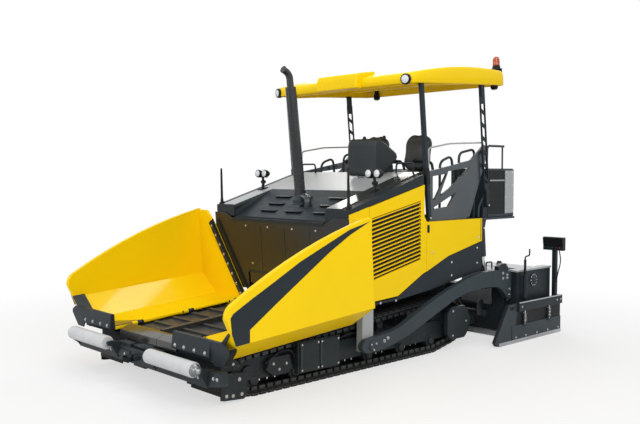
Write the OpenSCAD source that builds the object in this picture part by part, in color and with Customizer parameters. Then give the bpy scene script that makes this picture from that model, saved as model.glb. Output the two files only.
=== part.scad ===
// Tracked asphalt paver with open hopper wings, folding canopy and extending screed.
// Millimetres, +X forward, +Y to the machine's left, +Z up, standing on z = 0.

/* [Tracks] */
// Length of track that lies on the ground
track_contact = 2895; // [2800:5:2960]
// Distance between the middles of the two tracks
track_gauge = 2020; // [2000:2:2030]
// Width of the track shoes
shoe_w = 320; // [280:2:330]
// Thickness of the belt that carries the shoes
belt_t = 40; // [30:1:50]
// Height of the bars on the shoes
grouser_h = 22; // [14:1:30]
// Number of shoes on one track
shoe_count = 50; // [40:2:60]
// Radius of the belt round the front idler
idler_r = 212; // [200:1:218]
// Idler axis ahead of the end of the ground contact
idler_ahead = 90; // [70:2:110]
// Idler axis above the ground
idler_z = 246; // [240:1:252]
// Radius of the belt round the rear sprocket
sprocket_r = 300; // [280:1:310]
// Sprocket axis behind the end of the ground contact
sprocket_behind = 330; // [300:5:360]
// Sprocket axis above the ground
sprocket_z = 390; // [370:1:400]
// Radius of the ground rollers
ground_roller_r = 85; // [70:1:95]
// Number of ground rollers on one track
ground_rollers = 6; // [4:1:8]

/* [Chassis] */
// Thickness of the long side plates
side_plate_t = 60; // [40:1:70]
// Ground clearance under the belly
belly_z = 250; // [230:1:260]
// Belly plate thickness
belly_t = 25; // [15:1:30]
// Front face of the chassis behind the tips of the wings
nose_back = 265; // [245:5:285]
// Rear face of the chassis
chassis_rear_x = -2340; // [-2360:5:-2320]
// Top face of the engine bay floor
bay_floor_z = 1075; // [1060:1:1090]
// Thickness of the engine bay floor
bay_floor_t = 35; // [25:1:45]
// Rear face of the wall between engine bay and tanks
bulkhead_x = -1220; // [-1240:5:-1200]
// Thickness of that wall
bulkhead_t = 40; // [30:1:60]

/* [Hopper] */
// Width over both wings when they are open
hopper_w = 3260; // [3200:5:3300]
// Length of a wing along its hinge
wing_len = 2025; // [1980:5:2040]
// Height of the rim above the hinge at the rear
wing_rear_h = 1130; // [1080:2:1150]
// Height of the rim above the hinge at the front
wing_front_h = 440; // [400:2:470]
// Rise of the rim's curve above the straight line from end to end
wing_rim_bulge = 78; // [40:1:100]
// Radius of the rim's front corner
wing_corner_r = 150; // [100:5:180]
// Height of the outer crease above the hinge
wing_crease_h = 130; // [110:1:150]
// Depth of the outer flange below the hinge
wing_flange_d = 88; // [70:1:95]
// Thickness of the upright wing wall
wing_wall_t = 60; // [40:1:70]
// Distance between the two wing hinges
hinge_gauge = 1200; // [1180:2:1220]
// Forward slope of the hinges and the hopper floor in degrees
hinge_tilt = 4.3; // [3.5:0.1:5]
// Height of the hinges at the hopper's rear
hinge_z = 690; // [680:1:700]
// Hopper's rear plane at hinge height
hopper_rear_x = 140; // [120:5:160]
// Thickness of the fixed wall behind the hopper
hopper_wall_t = 37; // [25:1:45]
// Height of that wall above the hinges
hopper_wall_h = 1010; // [990:2:1030]
// Running gap between the wings and the fixed wall
wing_gap = 8; // [6:0.5:12]
// Height of the conveyor tunnel's mouth
tunnel_h = 330; // [300:2:345]

/* [Push rollers] */
// Radius of a push roller
roller_r = 76; // [68:1:80]
// Length of a push roller
roller_len = 830; // [780:5:850]
// Clear distance from the middle to a roller
roller_inner_y = 425; // [400:5:440]
// Roller axis above the ground
roller_z = 424; // [416:1:428]
// Roller axis ahead of the beam's pivot
roller_ahead = 202; // [190:2:220]
// Beam pivot ahead of the chassis' front face
pivot_ahead = 160; // [150:2:175]
// Radius of the beam's pivot pin
pivot_r = 35; // [25:1:45]
// Radius of the bore in the tow eye
tow_eye_r = 30; // [20:1:36]

/* [Upper body] */
// Side panels outside the outer edges of the tracks
body_clear = 80; // [75:1:90]
// Thickness of the doors and side panels
panel_t = 40; // [30:1:45]
// Front end of the dark strips along the hood
hood_front_x = 160; // [150:2:165]
// Height of the hood's top at its front end
hood_front_z = 1881; // [1870:1:1895]
// Upward slope of the hood to the rear in degrees
hood_slope = 16.9; // [16:0.1:18]
// Thickness of the hood's plates
hood_t = 40; // [30:1:45]
// Depth of the sloped deck's front edge below the hood's top
deck_drop = 150; // [120:2:170]
// Rear edge of the sloped deck, level with the hood
deck_rear_x = -460; // [-500:5:-420]
// Half width of the sloped deck
deck_half_w = 860; // [800:5:900]
// Front edge of the side doors
door_front_x = -160; // [-180:2:-140]
// Gap round a closed door
door_gap = 6; // [5:0.5:10]
// Number of slats in a door's grille
grille_slats = 15; // [10:1:18]

/* [Platform] */
// Top face of the operator's floor
platform_z = 1690; // [1680:1:1700]
// Thickness of the operator's floor
platform_t = 30; // [20:1:40]
// Height of the railing above the floor
rail_h = 1000; // [940:5:1010]
// Thickness of the railing panels
rail_t = 40; // [25:1:45]
// Rear end of the cabinets behind the platform
cabinet_rear_x = -3190; // [-3210:5:-3150]
// Height of those cabinets
cabinet_h = 660; // [600:5:680]

/* [Canopy] */
// Middle of the posts inside the body's sides
post_inset = 15; // [10:1:20]
// Side of a square post
post_s = 50; // [40:1:54]
// Front post's lower pivot
post_base_x = -1250; // [-1265:5:-1240]
// Length of a post between its pivots
post_len = 1680; // [1640:5:1710]
// Forward lean of the posts in degrees
post_lean = 5.7; // [4:0.1:7]
// Rear posts behind the front posts
post_spacing = 1240; // [1220:5:1260]
// Tilt of the roof, higher at the rear, in degrees
roof_tilt = 3.3; // [2.5:0.1:4]
// Rise of the rear posts above the front posts
post_rise = 125; // [110:1:140]
// Radius of the posts' pivot pins
post_pin_r = 15; // [10:1:18]
// Length of the roof
roof_len = 2250; // [2150:10:2300]
// Roof's side edges outside the middle of the posts
roof_over = 70; // [62:1:90]
// Height of the roof's edge
roof_edge_h = 140; // [130:2:170]
// Height of the roof's crown above its lower edge
roof_crown_h = 235; // [210:5:260]
// Wall of the roof's shell
roof_wall = 20; // [15:1:25]

/* [Screed] */
// Tow point ahead of the middle of the tracks
tow_x = -107; // [-115:1:-100]
// Tow point above the ground
tow_z = 320; // [315:1:325]
// Radius of the tow pins
tow_pin_r = 30; // [24:1:36]
// Thickness of a tow arm
arm_t = 82; // [60:1:90]
// Front face of the screed
screed_front_x = -2830; // [-2850:5:-2815]
// Depth of the fixed screed from front to rear
screed_depth = 520; // [480:5:540]
// Depth of the extending screed from front to rear
extension_depth = 430; // [400:5:450]
// Gap between the fixed screed's ends and the tow arms
screed_arm_gap = 8; // [6:1:30]
// Clearance of the screed's sole above the ground
sole_z = 15; // [10:1:30]
// Height of the screed's box
screed_h = 420; // [390:5:440]
// Outer faces of the end plates outside the fixed screed
end_plate_out = 290; // [270:5:320]
// Thickness of the end plates
end_plate_t = 50; // [30:1:60]
// Radius of the guide tubes of the extensions
guide_r = 45; // [35:1:55]

/* [Augers] */
// Auger axis behind the chassis
auger_behind = 230; // [215:1:240]
// Auger axis above the ground
auger_z = 370; // [340:5:380]
// Outer radius of the auger flights
auger_r = 190; // [170:2:200]
// Outer end of an auger from the middle
auger_end_y = 1180; // [1100:5:1200]
// Radius of the auger shaft
auger_shaft_r = 45; // [40:1:55]
// Radius of the stub axle that carries an auger
stub_r = 25; // [18:1:30]
// Turns of one auger flight
auger_turns = 3; // [2:0.5:4]

/* [Lift cylinders] */
// Lift cylinders inside the frame's sides
cylinder_inset = 110; // [100:2:130]
// Upper pivot's place along the machine
cylinder_top_x = -2545; // [-2555:1:-2535]
// Upper pivot's height
cylinder_top_z = 1590; // [1580:1:1595]
// Eye of the rod along the machine
cylinder_eye_x = -2620; // [-2630:1:-2610]
// Eye of the rod above the ground
cylinder_eye_z = 745; // [735:1:755]
// Outer radius of the barrel
barrel_r = 50; // [45:1:60]
// Radius of the rod
rod_r = 28; // [22:1:32]
// Length of the barrel
barrel_len = 440; // [430:2:442]

/* [Hidden] */
$fn = 48;

yellow = "#fad20a";
anthracite = "#2d3338";
slate = "#414850";
black = "#17181a";
light_grey = "#c9cccd";
silver = "#d8dadb";
orange = "#f0780a";

// Radial gap of a turning or sliding fit
fit_gap = 0.05;
// Gap between a curved face and its seat
seat_gap = 0.3;
// Clearance of a part that moves past another
free_gap = 6;
// Clear length by which one solid reaches into another of the same piece
bite = 1;

track_y = track_gauge / 2;
body_half = track_y + shoe_w / 2 + body_clear;
frame_half = body_half - panel_t;
post_mid_y = body_half - post_inset;
hinge_y = hinge_gauge / 2;
contact_half = track_contact / 2;

// Hopper floor frame: x along the hinges from the rear wall forward, z square to the floor
function hopper_point_x(x, z) = hopper_rear_x + x * cos(hinge_tilt) + z * sin(hinge_tilt);
function hopper_point_z(x, z) = hinge_z - x * sin(hinge_tilt) + z * cos(hinge_tilt);
// World x of the plane at distance x along the hinges, at world height z
function hopper_plane_x(x, z) = hopper_rear_x + (x + (z - hinge_z) * sin(hinge_tilt)) / cos(hinge_tilt);
wall_rear = -wing_gap - hopper_wall_t;

// Height of the hood's top line at x
function hood_z(x) = hood_front_z + (hood_front_x - x) * tan(hood_slope);

nose_x = hopper_rear_x + wing_len - nose_back;
pivot_x = nose_x + pivot_ahead;
roller_x = pivot_x + roller_ahead;
end_plate_rear_x = screed_front_x - screed_depth - extension_depth - free_gap - 74;
x_front = roller_x + roller_r;
x_rear = end_plate_rear_x;
shift_x = -(x_front + x_rear) / 2;

// Basic placing
module centred() translate([shift_x, 0, 0]) children();
module on_side(side) mirror([0, side > 0 ? 0 : 1, 0]) children();
module both_sides() {
    children();
    mirror([0, 1, 0]) children();
}
module hopper_frame() {
    translate([hopper_rear_x, 0, hinge_z]) rotate([0, hinge_tilt, 0]) children();
}
module box(x, y, z) translate([x[0], y[0], z[0]]) cube([x[1] - x[0], y[1] - y[0], z[1] - z[0]]);
// Outline in x and z, as thick as the span y
module plate_xz(points, y) {
    translate([0, y[1], 0]) rotate([90, 0, 0]) linear_extrude(y[1] - y[0]) polygon(points);
}
// Outline in y and z, as thick as the span x
module plate_yz(points, x) {
    translate([x[0], 0, 0]) rotate([90, 0, 90]) linear_extrude(x[1] - x[0]) polygon(points);
}
// Round bar along X
module bar_x(y, z, x, r) translate([x[0], y, z]) rotate([0, 90, 0]) cylinder(h = x[1] - x[0], r = r);
// Round bar along Y
module bar_y(x, z, y, r) translate([x, y[0], z]) rotate([-90, 0, 0]) cylinder(h = y[1] - y[0], r = r);

// Track loop: four wheels in order, each with centre and belt radius
corner_r = ground_roller_r + belt_t;
track_wheels = [
    [[contact_half + idler_ahead, idler_z], idler_r],
    [[-contact_half - sprocket_behind, sprocket_z], sprocket_r],
    [[-contact_half, grouser_h + corner_r], corner_r],
    [[contact_half, grouser_h + corner_r], corner_r]
];
wheel_n = len(track_wheels);
function wheel(i) = track_wheels[(i + wheel_n) % wheel_n];
function span(i) = wheel(i + 1)[0] - wheel(i)[0];
// Direction of the outward normal on the straight run after wheel i
function run_angle(i) =
    atan2(span(i)[1], span(i)[0]) - 90 + asin((wheel(i)[1] - wheel(i + 1)[1]) / norm(span(i)));
function wrap(a) = a < 0 ? wrap(a + 360) : a >= 360 ? a - 360 : a;
function wrap_angle(i) = wrap(run_angle(i) - run_angle(i - 1));
function arc_len(i) = wheel(i)[1] * wrap_angle(i) * PI / 180;
function run_len(i) = sqrt(pow(norm(span(i)), 2) - pow(wheel(i)[1] - wheel(i + 1)[1], 2));
function loop_len(i = 0) = i == wheel_n ? 0 : arc_len(i) + run_len(i) + loop_len(i + 1);
function ray(a) = [cos(a), sin(a)];
// Point on the loop at length s, raised by h along its normal
function loop_point(s, h, i = 0) =
    s < 0 ? loop_point(s + loop_len(), h) :
    i == wheel_n ? loop_point(s, h, 0) :
    s < arc_len(i)
        ? let (a = run_angle(i - 1) + s / wheel(i)[1] * 180 / PI) wheel(i)[0] + (wheel(i)[1] + h) * ray(a)
        : s < arc_len(i) + run_len(i)
            ? wheel(i)[0] + (wheel(i)[1] + h) * ray(run_angle(i))
                + (s - arc_len(i)) * ray(run_angle(i) + 90)
            : loop_point(s - arc_len(i) - run_len(i), h, i + 1);
shoe_pitch = loop_len() / shoe_count;
bar_half = shoe_pitch * 0.16;
shoe_outline = [for (k = [0:shoe_count - 1], p = [[-1, 0], [-1, 1], [1, 1], [1, 0]])
    loop_point(k * shoe_pitch + p[0] * bar_half, p[1] * grouser_h)];
inside_step = shoe_pitch / 3;
belt_inside = [for (k = [0:3 * shoe_count - 1]) loop_point(k * inside_step, -belt_t)];

module track(side) {
    color(black) on_side(side)
        translate([0, track_y + shoe_w / 2, 0]) rotate([90, 0, 0])
            linear_extrude(shoe_w) difference() {
                polygon(shoe_outline);
                polygon(belt_inside);
            }
}

// Track frame: beam with rollers, idler, sprocket, service box and final drive cover
beam_half = 80;
beam_z = [grouser_h + belt_t + ground_roller_r, grouser_h + belt_t + 2 * ground_roller_r + 150];
wheel_half = 60;
idler_x = track_wheels[0][0][0];
sprocket_x = track_wheels[1][0][0];
cover_r = 212;
cover_y = [track_y + shoe_w / 2 + 20, body_half];
box_plate_y = [track_y + shoe_w / 2 + free_gap, body_half - 50];
// Largest wheel that stays inside the flats of the belt
function inside_r(r) = (r - belt_t) * cos(inside_step / (r * PI / 180) / 2) - seat_gap;

module track_frame(side) {
    color(anthracite) on_side(side) {
        box([sprocket_x, idler_x], [track_y - beam_half, track_y + beam_half], beam_z);
        for (k = [0:ground_rollers - 1])
            bar_y(-contact_half + k * track_contact / (ground_rollers - 1),
                grouser_h + belt_t + ground_roller_r + seat_gap + 1,
                [track_y - wheel_half - 40, track_y + wheel_half + 40], ground_roller_r - 4);
        bar_y(idler_x, idler_z, [track_y - wheel_half, track_y + wheel_half], inside_r(idler_r));
        bar_y(sprocket_x, sprocket_z, [track_y - wheel_half, track_y + wheel_half], inside_r(sprocket_r));
        bar_y(sprocket_x, sprocket_z, [track_y, cover_y[0]], 120);
        intersection() {
            bar_y(sprocket_x - 70, sprocket_z - 40, cover_y, cover_r + 40);
            box([sprocket_x - 400, sprocket_x + 150], [0, cover_y[1]],
                [sprocket_z - 40 - cover_r, sprocket_z - 40 + cover_r]);
        }
        box([270, 900], [track_y + beam_half - bite, box_plate_y[0] + bite], [135, 430]);
        box([270, 900], box_plate_y, [135, 480]);
    }
}

// Scraper plates ahead of the tracks
module track_deflectors() {
    color(anthracite) both_sides() {
        box([nose_x, nose_x + 20], [hinge_y, track_y + shoe_w / 2 + 30], [110, 440]);
        box([nose_x - 180, nose_x], [track_y + shoe_w / 2 + free_gap, track_y + shoe_w / 2 + 30], [110, 300]);
    }
}

// Chassis: side plates, belly, cross beams, tunnel, bay floor, bulkhead, nose and auger carrier
floor_drop = 60;
deck_t = 15;
side_y = [hinge_y, hinge_y + side_plate_t];
plate_top = -floor_drop + deck_t;
nose_plate_t = 28;
beam_height = 160;
beam_bottom = roller_z - 184;
auger_x = chassis_rear_x - auger_behind;

module chassis_frame() {
    color(anthracite) difference() {
        union() {
            both_sides() {
                plate_xz([
                    [nose_x, belly_z],
                    [nose_x, hopper_point_z((nose_x - hopper_rear_x) / cos(hinge_tilt), plate_top)],
                    [hopper_plane_x(wall_rear - seat_gap, hinge_z + plate_top), hinge_z + plate_top],
                    [hopper_plane_x(wall_rear - seat_gap, bay_floor_z), bay_floor_z],
                    [chassis_rear_x, bay_floor_z],
                    [chassis_rear_x, belly_z + 230],
                    [chassis_rear_x + 300, belly_z]
                ], side_y);
                for (x = [720, -900])
                    box([x - 80, x + 80], [side_y[1] - bite, track_y - beam_half], [beam_z[0] + 95, beam_z[1] - 20]);
            }
            box([chassis_rear_x + 300, nose_x], [-hinge_y - bite, hinge_y + bite], [belly_z, belly_z + belly_t]);
            box([nose_x - 120, nose_x], [-hinge_y - bite, hinge_y + bite], [belly_z, belly_z + 190]);
            box([chassis_rear_x, chassis_rear_x + 90], [-hinge_y - bite, hinge_y + bite],
                [belly_z + 230, hinge_z - floor_drop]);
            plate_xz([
                [hopper_plane_x(wall_rear - seat_gap, bay_floor_z - bay_floor_t), bay_floor_z - bay_floor_t],
                [hopper_plane_x(wall_rear - seat_gap, bay_floor_z), bay_floor_z],
                [chassis_rear_x, bay_floor_z],
                [chassis_rear_x, bay_floor_z - bay_floor_t]
            ], [-frame_half, frame_half]);
            box([bulkhead_x, bulkhead_x + bulkhead_t], [-frame_half, frame_half], [bay_floor_z - bite, platform_z]);
            plate_xz([
                [bulkhead_x, platform_z - bite],
                [bulkhead_x + bulkhead_t, platform_z - bite],
                [bulkhead_x + bulkhead_t, hood_z(bulkhead_x + bulkhead_t) - hood_v - seat_gap],
                [bulkhead_x, hood_z(bulkhead_x) - hood_v - seat_gap]
            ], [-strip_y[0], strip_y[0]]);
            both_sides() hopper_frame() for (x = hinge_x) {
                box([x, x + hinge_lug_w], [hinge_y, hinge_y + hinge_eye_r], [plate_top - 3, 0]);
                bar_x(hinge_y, 0, [x, x + hinge_lug_w], hinge_eye_r);
                bar_x(hinge_y, 0, [x, x + 2 * hinge_lug_w + free_gap], hinge_pin_r);
            }
            for (z = [beam_bottom - free_gap - nose_plate_t, beam_bottom + beam_height + free_gap])
                box([nose_x - bite, pivot_x + pivot_r + 25], [-120, 120], [z, z + nose_plate_t]);
            translate([pivot_x, 0, beam_bottom - free_gap - bite])
                cylinder(h = beam_height + 2 * free_gap + 2 * bite, r = pivot_r);
            box([nose_x - bite, nose_x + 40], [-120, 120],
                [beam_bottom - free_gap - nose_plate_t, beam_bottom + beam_height + free_gap + nose_plate_t]);
            box([auger_x - 60, chassis_rear_x + bite], [-50, 50], [auger_z - 70, hinge_z - floor_drop - 20]);
            bar_y(auger_x, auger_z, [-50 - 150, 50 + 150], stub_r);
        }
    }
}

// Guides at the tow points with the pins for the arms
arm_y = [body_half + 28, body_half + 28 + arm_t];
module tow_guides() {
    color(light_grey) both_sides() {
        box([tow_x - 95, tow_x + 85], [track_y + shoe_w / 2 + free_gap, frame_half - 5],
            [tow_z - 80, bay_floor_z - bay_floor_t]);
        plate_xz([
            [tow_x - 95, tow_z - 80],
            [tow_x + 85, tow_z - 80],
            [tow_x + 85, 624],
            [tow_x + 20, 785],
            [tow_x - 95, 785]
        ], [frame_half - 5 - bite, arm_y[0] - free_gap]);
        bar_y(tow_x, tow_z, [arm_y[0] - free_gap - bite, arm_y[1] + 10], tow_pin_r);
    }
}

// Two slat conveyors: decks, slats and the cover between them
slat_pitch = 260;
slat_h = 28;
tunnel_end_x = chassis_rear_x;
conveyor_len = (nose_x - hopper_rear_x) / cos(hinge_tilt) - 40;
slat_w = 45;
slat_y = [45, hinge_y - 40];
cover_half = 35;
cover_h = 60;
tunnel_deck_z = hinge_z - floor_drop + deck_t;
// Bent outline of a deck: level through the tunnel, then down along the hopper floor to length x
function bent_deck(x, low, high) = [
    [tunnel_end_x, hinge_z + low],
    [hopper_point_x(0, low), hinge_z + low],
    [hopper_point_x(x, low), hopper_point_z(x, low)],
    [hopper_point_x(x, high), hopper_point_z(x, high)],
    [hopper_point_x(0, high), hinge_z + high],
    [tunnel_end_x, hinge_z + high]
];
module conveyors() {
    color(slate) {
        plate_xz(bent_deck(conveyor_len, -floor_drop, plate_top), [-hinge_y, hinge_y]);
        plate_xz(bent_deck(conveyor_len - 20, plate_top - bite, plate_top + cover_h), [-cover_half, cover_half]);
        hopper_frame() for (x = [120:slat_pitch:conveyor_len - 60])
            both_sides() box([x, x + slat_w], slat_y, [plate_top - bite, plate_top + slat_h]);
        for (x = [tunnel_end_x + 60:slat_pitch:hopper_rear_x - 150])
            both_sides() box([x, x + slat_w], slat_y, [tunnel_deck_z - bite, tunnel_deck_z + slat_h]);
    }
}

// Front apron between the wings, with its rubber flap
module hopper_apron() {
    color(anthracite) hopper_frame() {
        plate_xz([
            [conveyor_len, -floor_drop - 50],
            [conveyor_len + 20, -floor_drop - 50],
            [conveyor_len + 130, plate_top - 60],
            [conveyor_len + 130, plate_top - 40],
            [conveyor_len + 30, plate_top + 20],
            [conveyor_len, plate_top + 20]
        ], [-hinge_y + 20, hinge_y - 20]);
    }
}

// Fixed wall behind the hopper, with the mouth of the conveyor tunnel
wall_low = 110;
module hopper_wall() {
    color(anthracite) hopper_frame()
        plate_yz([
            [-body_half, wall_low],
            [-side_y[1], wall_low],
            [-side_y[1], plate_top],
            [-hinge_y, plate_top],
            [-hinge_y, tunnel_h],
            [hinge_y, tunnel_h],
            [hinge_y, plate_top],
            [side_y[1], plate_top],
            [side_y[1], wall_low],
            [body_half, wall_low],
            [body_half, hopper_wall_h + 80],
            [deck_half_w + 180, hopper_wall_h + 80],
            [deck_half_w, hopper_wall_h],
            [-deck_half_w, hopper_wall_h],
            [-deck_half_w - 180, hopper_wall_h + 80],
            [-body_half, hopper_wall_h + 80]
        ], [wall_rear, -wing_gap]);
}

module engine() {
    color(slate) box([-1050, -60], [-400, 400], [bay_floor_z, bay_floor_z + 620]);
}

// Tanks under the platform, closed
module tank() {
    color(anthracite)
        box([chassis_rear_x, bulkhead_x], [-frame_half, frame_half], [bay_floor_z, platform_z - platform_t]);
}

// Hood: rear cover, side covers, sloped deck and the walls between them
strip_y = [frame_half - 90, body_half];
// Band between two lines parallel to the hood's top, from x1 back to x0
function hood_band(x0, x1, top, bottom) = [
    [x0, hood_z(x0) - bottom], [x1, hood_z(x1) - bottom], [x1, hood_z(x1) - top], [x0, hood_z(x0) - top]
];
hood_v = hood_t / cos(hood_slope);
// Where a line below the hood's top meets the rear face of the hopper wall
function hood_meets_wall_x(drop) =
    let (z = hood_z(hood_front_x - 60) - drop) hopper_plane_x(wall_rear, z) - 12;

deck_front_x = hood_meets_wall_x(deck_drop);
// Height of the sloped deck's top face at x
function deck_z(x) = hood_z(x) - deck_drop * (deck_rear_x - x) / (deck_rear_x - deck_front_x);
deck_wall_t = 30;

module hood() {
    color(light_grey) {
        plate_xz(hood_band(bulkhead_x, deck_rear_x, 0, hood_v), [-strip_y[0], strip_y[0]]);
        both_sides() plate_xz(hood_band(deck_rear_x - bite, hood_meets_wall_x(0), 0, hood_v),
            [deck_half_w, strip_y[0]]);
        plate_xz([
            [deck_rear_x - bite, hood_z(deck_rear_x)],
            [deck_rear_x - bite, hood_z(deck_rear_x) - hood_v],
            [deck_front_x, deck_z(deck_front_x) - hood_v],
            [deck_front_x, deck_z(deck_front_x)]
        ], [-deck_half_w - bite, deck_half_w + bite]);
        both_sides() plate_xz([
            [deck_rear_x, hood_z(deck_rear_x) - hood_v / 2],
            [deck_front_x, deck_z(deck_front_x) - hood_v],
            [deck_front_x, hood_z(deck_front_x) - hood_v / 2]
        ], [deck_half_w, deck_half_w + deck_wall_t]);
    }
}

// Dark strips along both edges of the hood
strip_front_d = 53;
strip_rear_d = 121;
strip_rear_x = bulkhead_x + bulkhead_t + 40;
module hood_strips() {
    color(anthracite) both_sides() plate_xz([
        [hood_front_x, hood_front_z],
        [strip_rear_x, hood_z(strip_rear_x)],
        [strip_rear_x, hood_z(strip_rear_x) - strip_rear_d],
        [hood_front_x, hood_front_z - strip_front_d]
    ], [strip_y[0], strip_y[1]]);
}

// Height of the lower edge of the strips at x
function strip_bottom(x) = hood_z(x) - strip_front_d
    - (strip_rear_d - strip_front_d) * (hood_front_x - x) / (hood_front_x - strip_rear_x);

// Yellow panels that stay: the corner ahead of the door and the panel behind it
skirt_front_z = 795;
skirt_door_z = 1050;
skirt_rear_z = 1388;
panel_top_x = hopper_plane_x(wall_rear - bite, strip_bottom(hood_front_x));
module side_panels() {
    color(yellow) both_sides() {
        plate_xz([
            [door_front_x + door_gap, skirt_front_z],
            [hopper_plane_x(wall_rear - bite, skirt_front_z), skirt_front_z],
            [panel_top_x, strip_bottom(panel_top_x) - seat_gap],
            [door_front_x + door_gap, strip_bottom(door_front_x + door_gap) - seat_gap]
        ], [frame_half, body_half]);
        for (z = door_hinge_z) {
            box([door_axis[0], door_axis[0] + 30], [body_half - bite, door_axis[1]], [z, z + door_lug_h]);
            translate([door_axis[0], door_axis[1], z]) cylinder(h = door_lug_h, r = door_eye_r);
            translate([door_axis[0], door_axis[1], z]) cylinder(h = 2 * door_lug_h + free_gap, r = door_pin_r);
        }
        plate_xz([
            [door_rear_x - door_gap, skirt_door_z + 20],
            [door_rear_x - door_gap, platform_z],
            [chassis_rear_x - 20, platform_z],
            [chassis_rear_x - 20, skirt_rear_z],
            [-1634, 1234]
        ], [frame_half, body_half]);
    }
}

// Dark panels under the doors and the rear panels
module lower_panels() {
    color(anthracite) both_sides() plate_xz([
        [-215, 785 - door_gap],
        [-660, 815 - door_gap],
        [-1126, skirt_door_z - door_gap],
        [door_rear_x, skirt_door_z + 20 - door_gap],
        [-1634, 1234 - door_gap],
        [chassis_rear_x - 20, skirt_rear_z - door_gap],
        [chassis_rear_x - 20, 985],
        [-2158, 967],
        [-1265, 834],
        [-696, 777],
        [-215, 755]
    ], [frame_half, body_half]);
}

// Side door with its slatted grille
door_rear_x = bulkhead_x + 25;
door_notch = 45;
door_pin_r = 6;
door_eye_r = 11;
door_lug_h = 40;
door_axis = [door_front_x + door_gap / 2, body_half + door_eye_r + 2];
door_hinge_z = [960, 1600];
grille_x = [-1080, -200];
grille_front_z = [1045, 1770];
grille_rise = 185;
module door(side) {
    color(yellow) on_side(side) {
        difference() {
            plate_xz([
                [door_front_x, strip_bottom(door_front_x) - door_gap],
                [door_rear_x + door_notch, strip_bottom(door_rear_x + door_notch) - door_gap],
                [door_rear_x + door_notch, platform_z + 70],
                [door_rear_x, platform_z],
                [door_rear_x, skirt_door_z + 20],
                [-1126, skirt_door_z],
                [-660, 821],
                [door_front_x, 795]
            ], [frame_half + door_gap, body_half]);
            plate_xz([
                [grille_x[1], grille_front_z[0]],
                [grille_x[1], grille_front_z[1]],
                [grille_x[0], grille_front_z[1] + grille_rise],
                [grille_x[0], grille_front_z[0] + grille_rise]
            ], [frame_half, body_half + bite]);
        }
        for (k = [0:grille_slats - 1])
            let (z = grille_front_z[0] + (k + 0.5) * (grille_front_z[1] - grille_front_z[0]) / grille_slats)
                plate_xz([
                    [grille_x[1] + bite, z - 12],
                    [grille_x[1] + bite, z + 12],
                    [grille_x[0] - bite, z + 12 + grille_rise],
                    [grille_x[0] - bite, z - 12 + grille_rise]
                ], [frame_half + door_gap, body_half - 6]);
        for (z = door_hinge_z) translate([0, 0, z + door_lug_h + free_gap]) difference() {
            union() {
                box([door_axis[0] - 28, door_axis[0]], [body_half - bite, door_axis[1]], [0, door_lug_h]);
                translate([door_axis[0], door_axis[1], 0]) cylinder(h = door_lug_h, r = door_eye_r);
            }
            translate([door_axis[0], door_axis[1], -bite])
                cylinder(h = door_lug_h + 2 * bite, r = door_pin_r + fit_gap);
        }
    }
}

// Exhaust on a foot that follows the sloped deck
exhaust_x = -190;
exhaust_y = 0;
exhaust_r = 62;
exhaust_h = 1420;
exhaust_lean = 5;
module exhaust() {
    foot = 130;
    foot_top = deck_z(exhaust_x) + foot;
    color(black) {
        plate_xz([
            [exhaust_x - foot, deck_z(exhaust_x - foot) + seat_gap],
            [exhaust_x + foot, deck_z(exhaust_x + foot) + seat_gap],
            [exhaust_x + foot, foot_top],
            [exhaust_x - foot, foot_top]
        ], [exhaust_y - foot, exhaust_y + foot]);
        translate([exhaust_x, exhaust_y, foot_top - 20]) rotate([0, exhaust_lean, 0]) {
            cylinder(h = exhaust_h, r = exhaust_r);
            translate([0, 0, exhaust_h - 20]) rotate([0, 40, 0]) cylinder(h = 170, r = exhaust_r);
        }
    }
}

// Twin work lamps on short stalks beside the hood
lamp_x = -450;
lamp_y = strip_y[0] - 95;
lamp_r = 48;
module hood_lamps() {
    color(anthracite) both_sides() {
        plate_xz(hood_band(lamp_x - 50, lamp_x + 50, -40, -seat_gap), [lamp_y - 55, lamp_y + 55]);
        translate([lamp_x, lamp_y, hood_z(lamp_x) + 25]) cylinder(h = 165, r = 22);
        for (dy = [-60, 60])
            translate([lamp_x - 40, lamp_y + dy, hood_z(lamp_x) + 220]) rotate([0, 90, 0]) cylinder(h = 80, r = lamp_r);
        box([lamp_x - 20, lamp_x + 20], [lamp_y - 60, lamp_y + 60], [hood_z(lamp_x) + 170, hood_z(lamp_x) + 215]);
    }
}

// Thin sight posts at the hood's front corners
module corner_posts() {
    color(black) both_sides() {
        plate_xz(hood_band(hood_front_x - 50, hood_front_x - 2, -30, -seat_gap), [body_half - 75, body_half - 25]);
        translate([hood_front_x - 26, body_half - 50, hood_z(hood_front_x - 26) + 20]) cylinder(h = 450, r = 17);
    }
}

// Operator's floor with two tongues under the cabinets and the upper eyes of the lift cylinders
tongue_y = [560, frame_half];
lug_t = 20;
lug_gap = 50;
module platform() {
    color(slate) {
        box([chassis_rear_x - 60, bulkhead_x], [-frame_half, frame_half], [platform_z - platform_t, platform_z]);
        both_sides() {
            box([cabinet_rear_x, chassis_rear_x - 60 + bite], tongue_y, [platform_z - platform_t, platform_z]);
            for (dy = [-lug_gap / 2 - lug_t, lug_gap / 2])
                plate_xz([
                    [cylinder_top_x - 60, platform_z - platform_t + bite],
                    [cylinder_top_x + 60, platform_z - platform_t + bite],
                    [cylinder_top_x + 30, cylinder_top_z - 40],
                    [cylinder_top_x - 30, cylinder_top_z - 40]
                ], [cylinder_y + dy, cylinder_y + dy + lug_t]);
            bar_y(cylinder_top_x, cylinder_top_z, [cylinder_y - lug_gap / 2 - 5, cylinder_y + lug_gap / 2 + 5],
                lift_pin_r);
            box([rail_x - 30, rail_x + 30], [rail_end - 20, rail_end], [platform_z - bite, rail_z + 30]);
        }
        bar_y(rail_x, rail_z, [-rail_end, rail_end], rail_r);
    }
}

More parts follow.
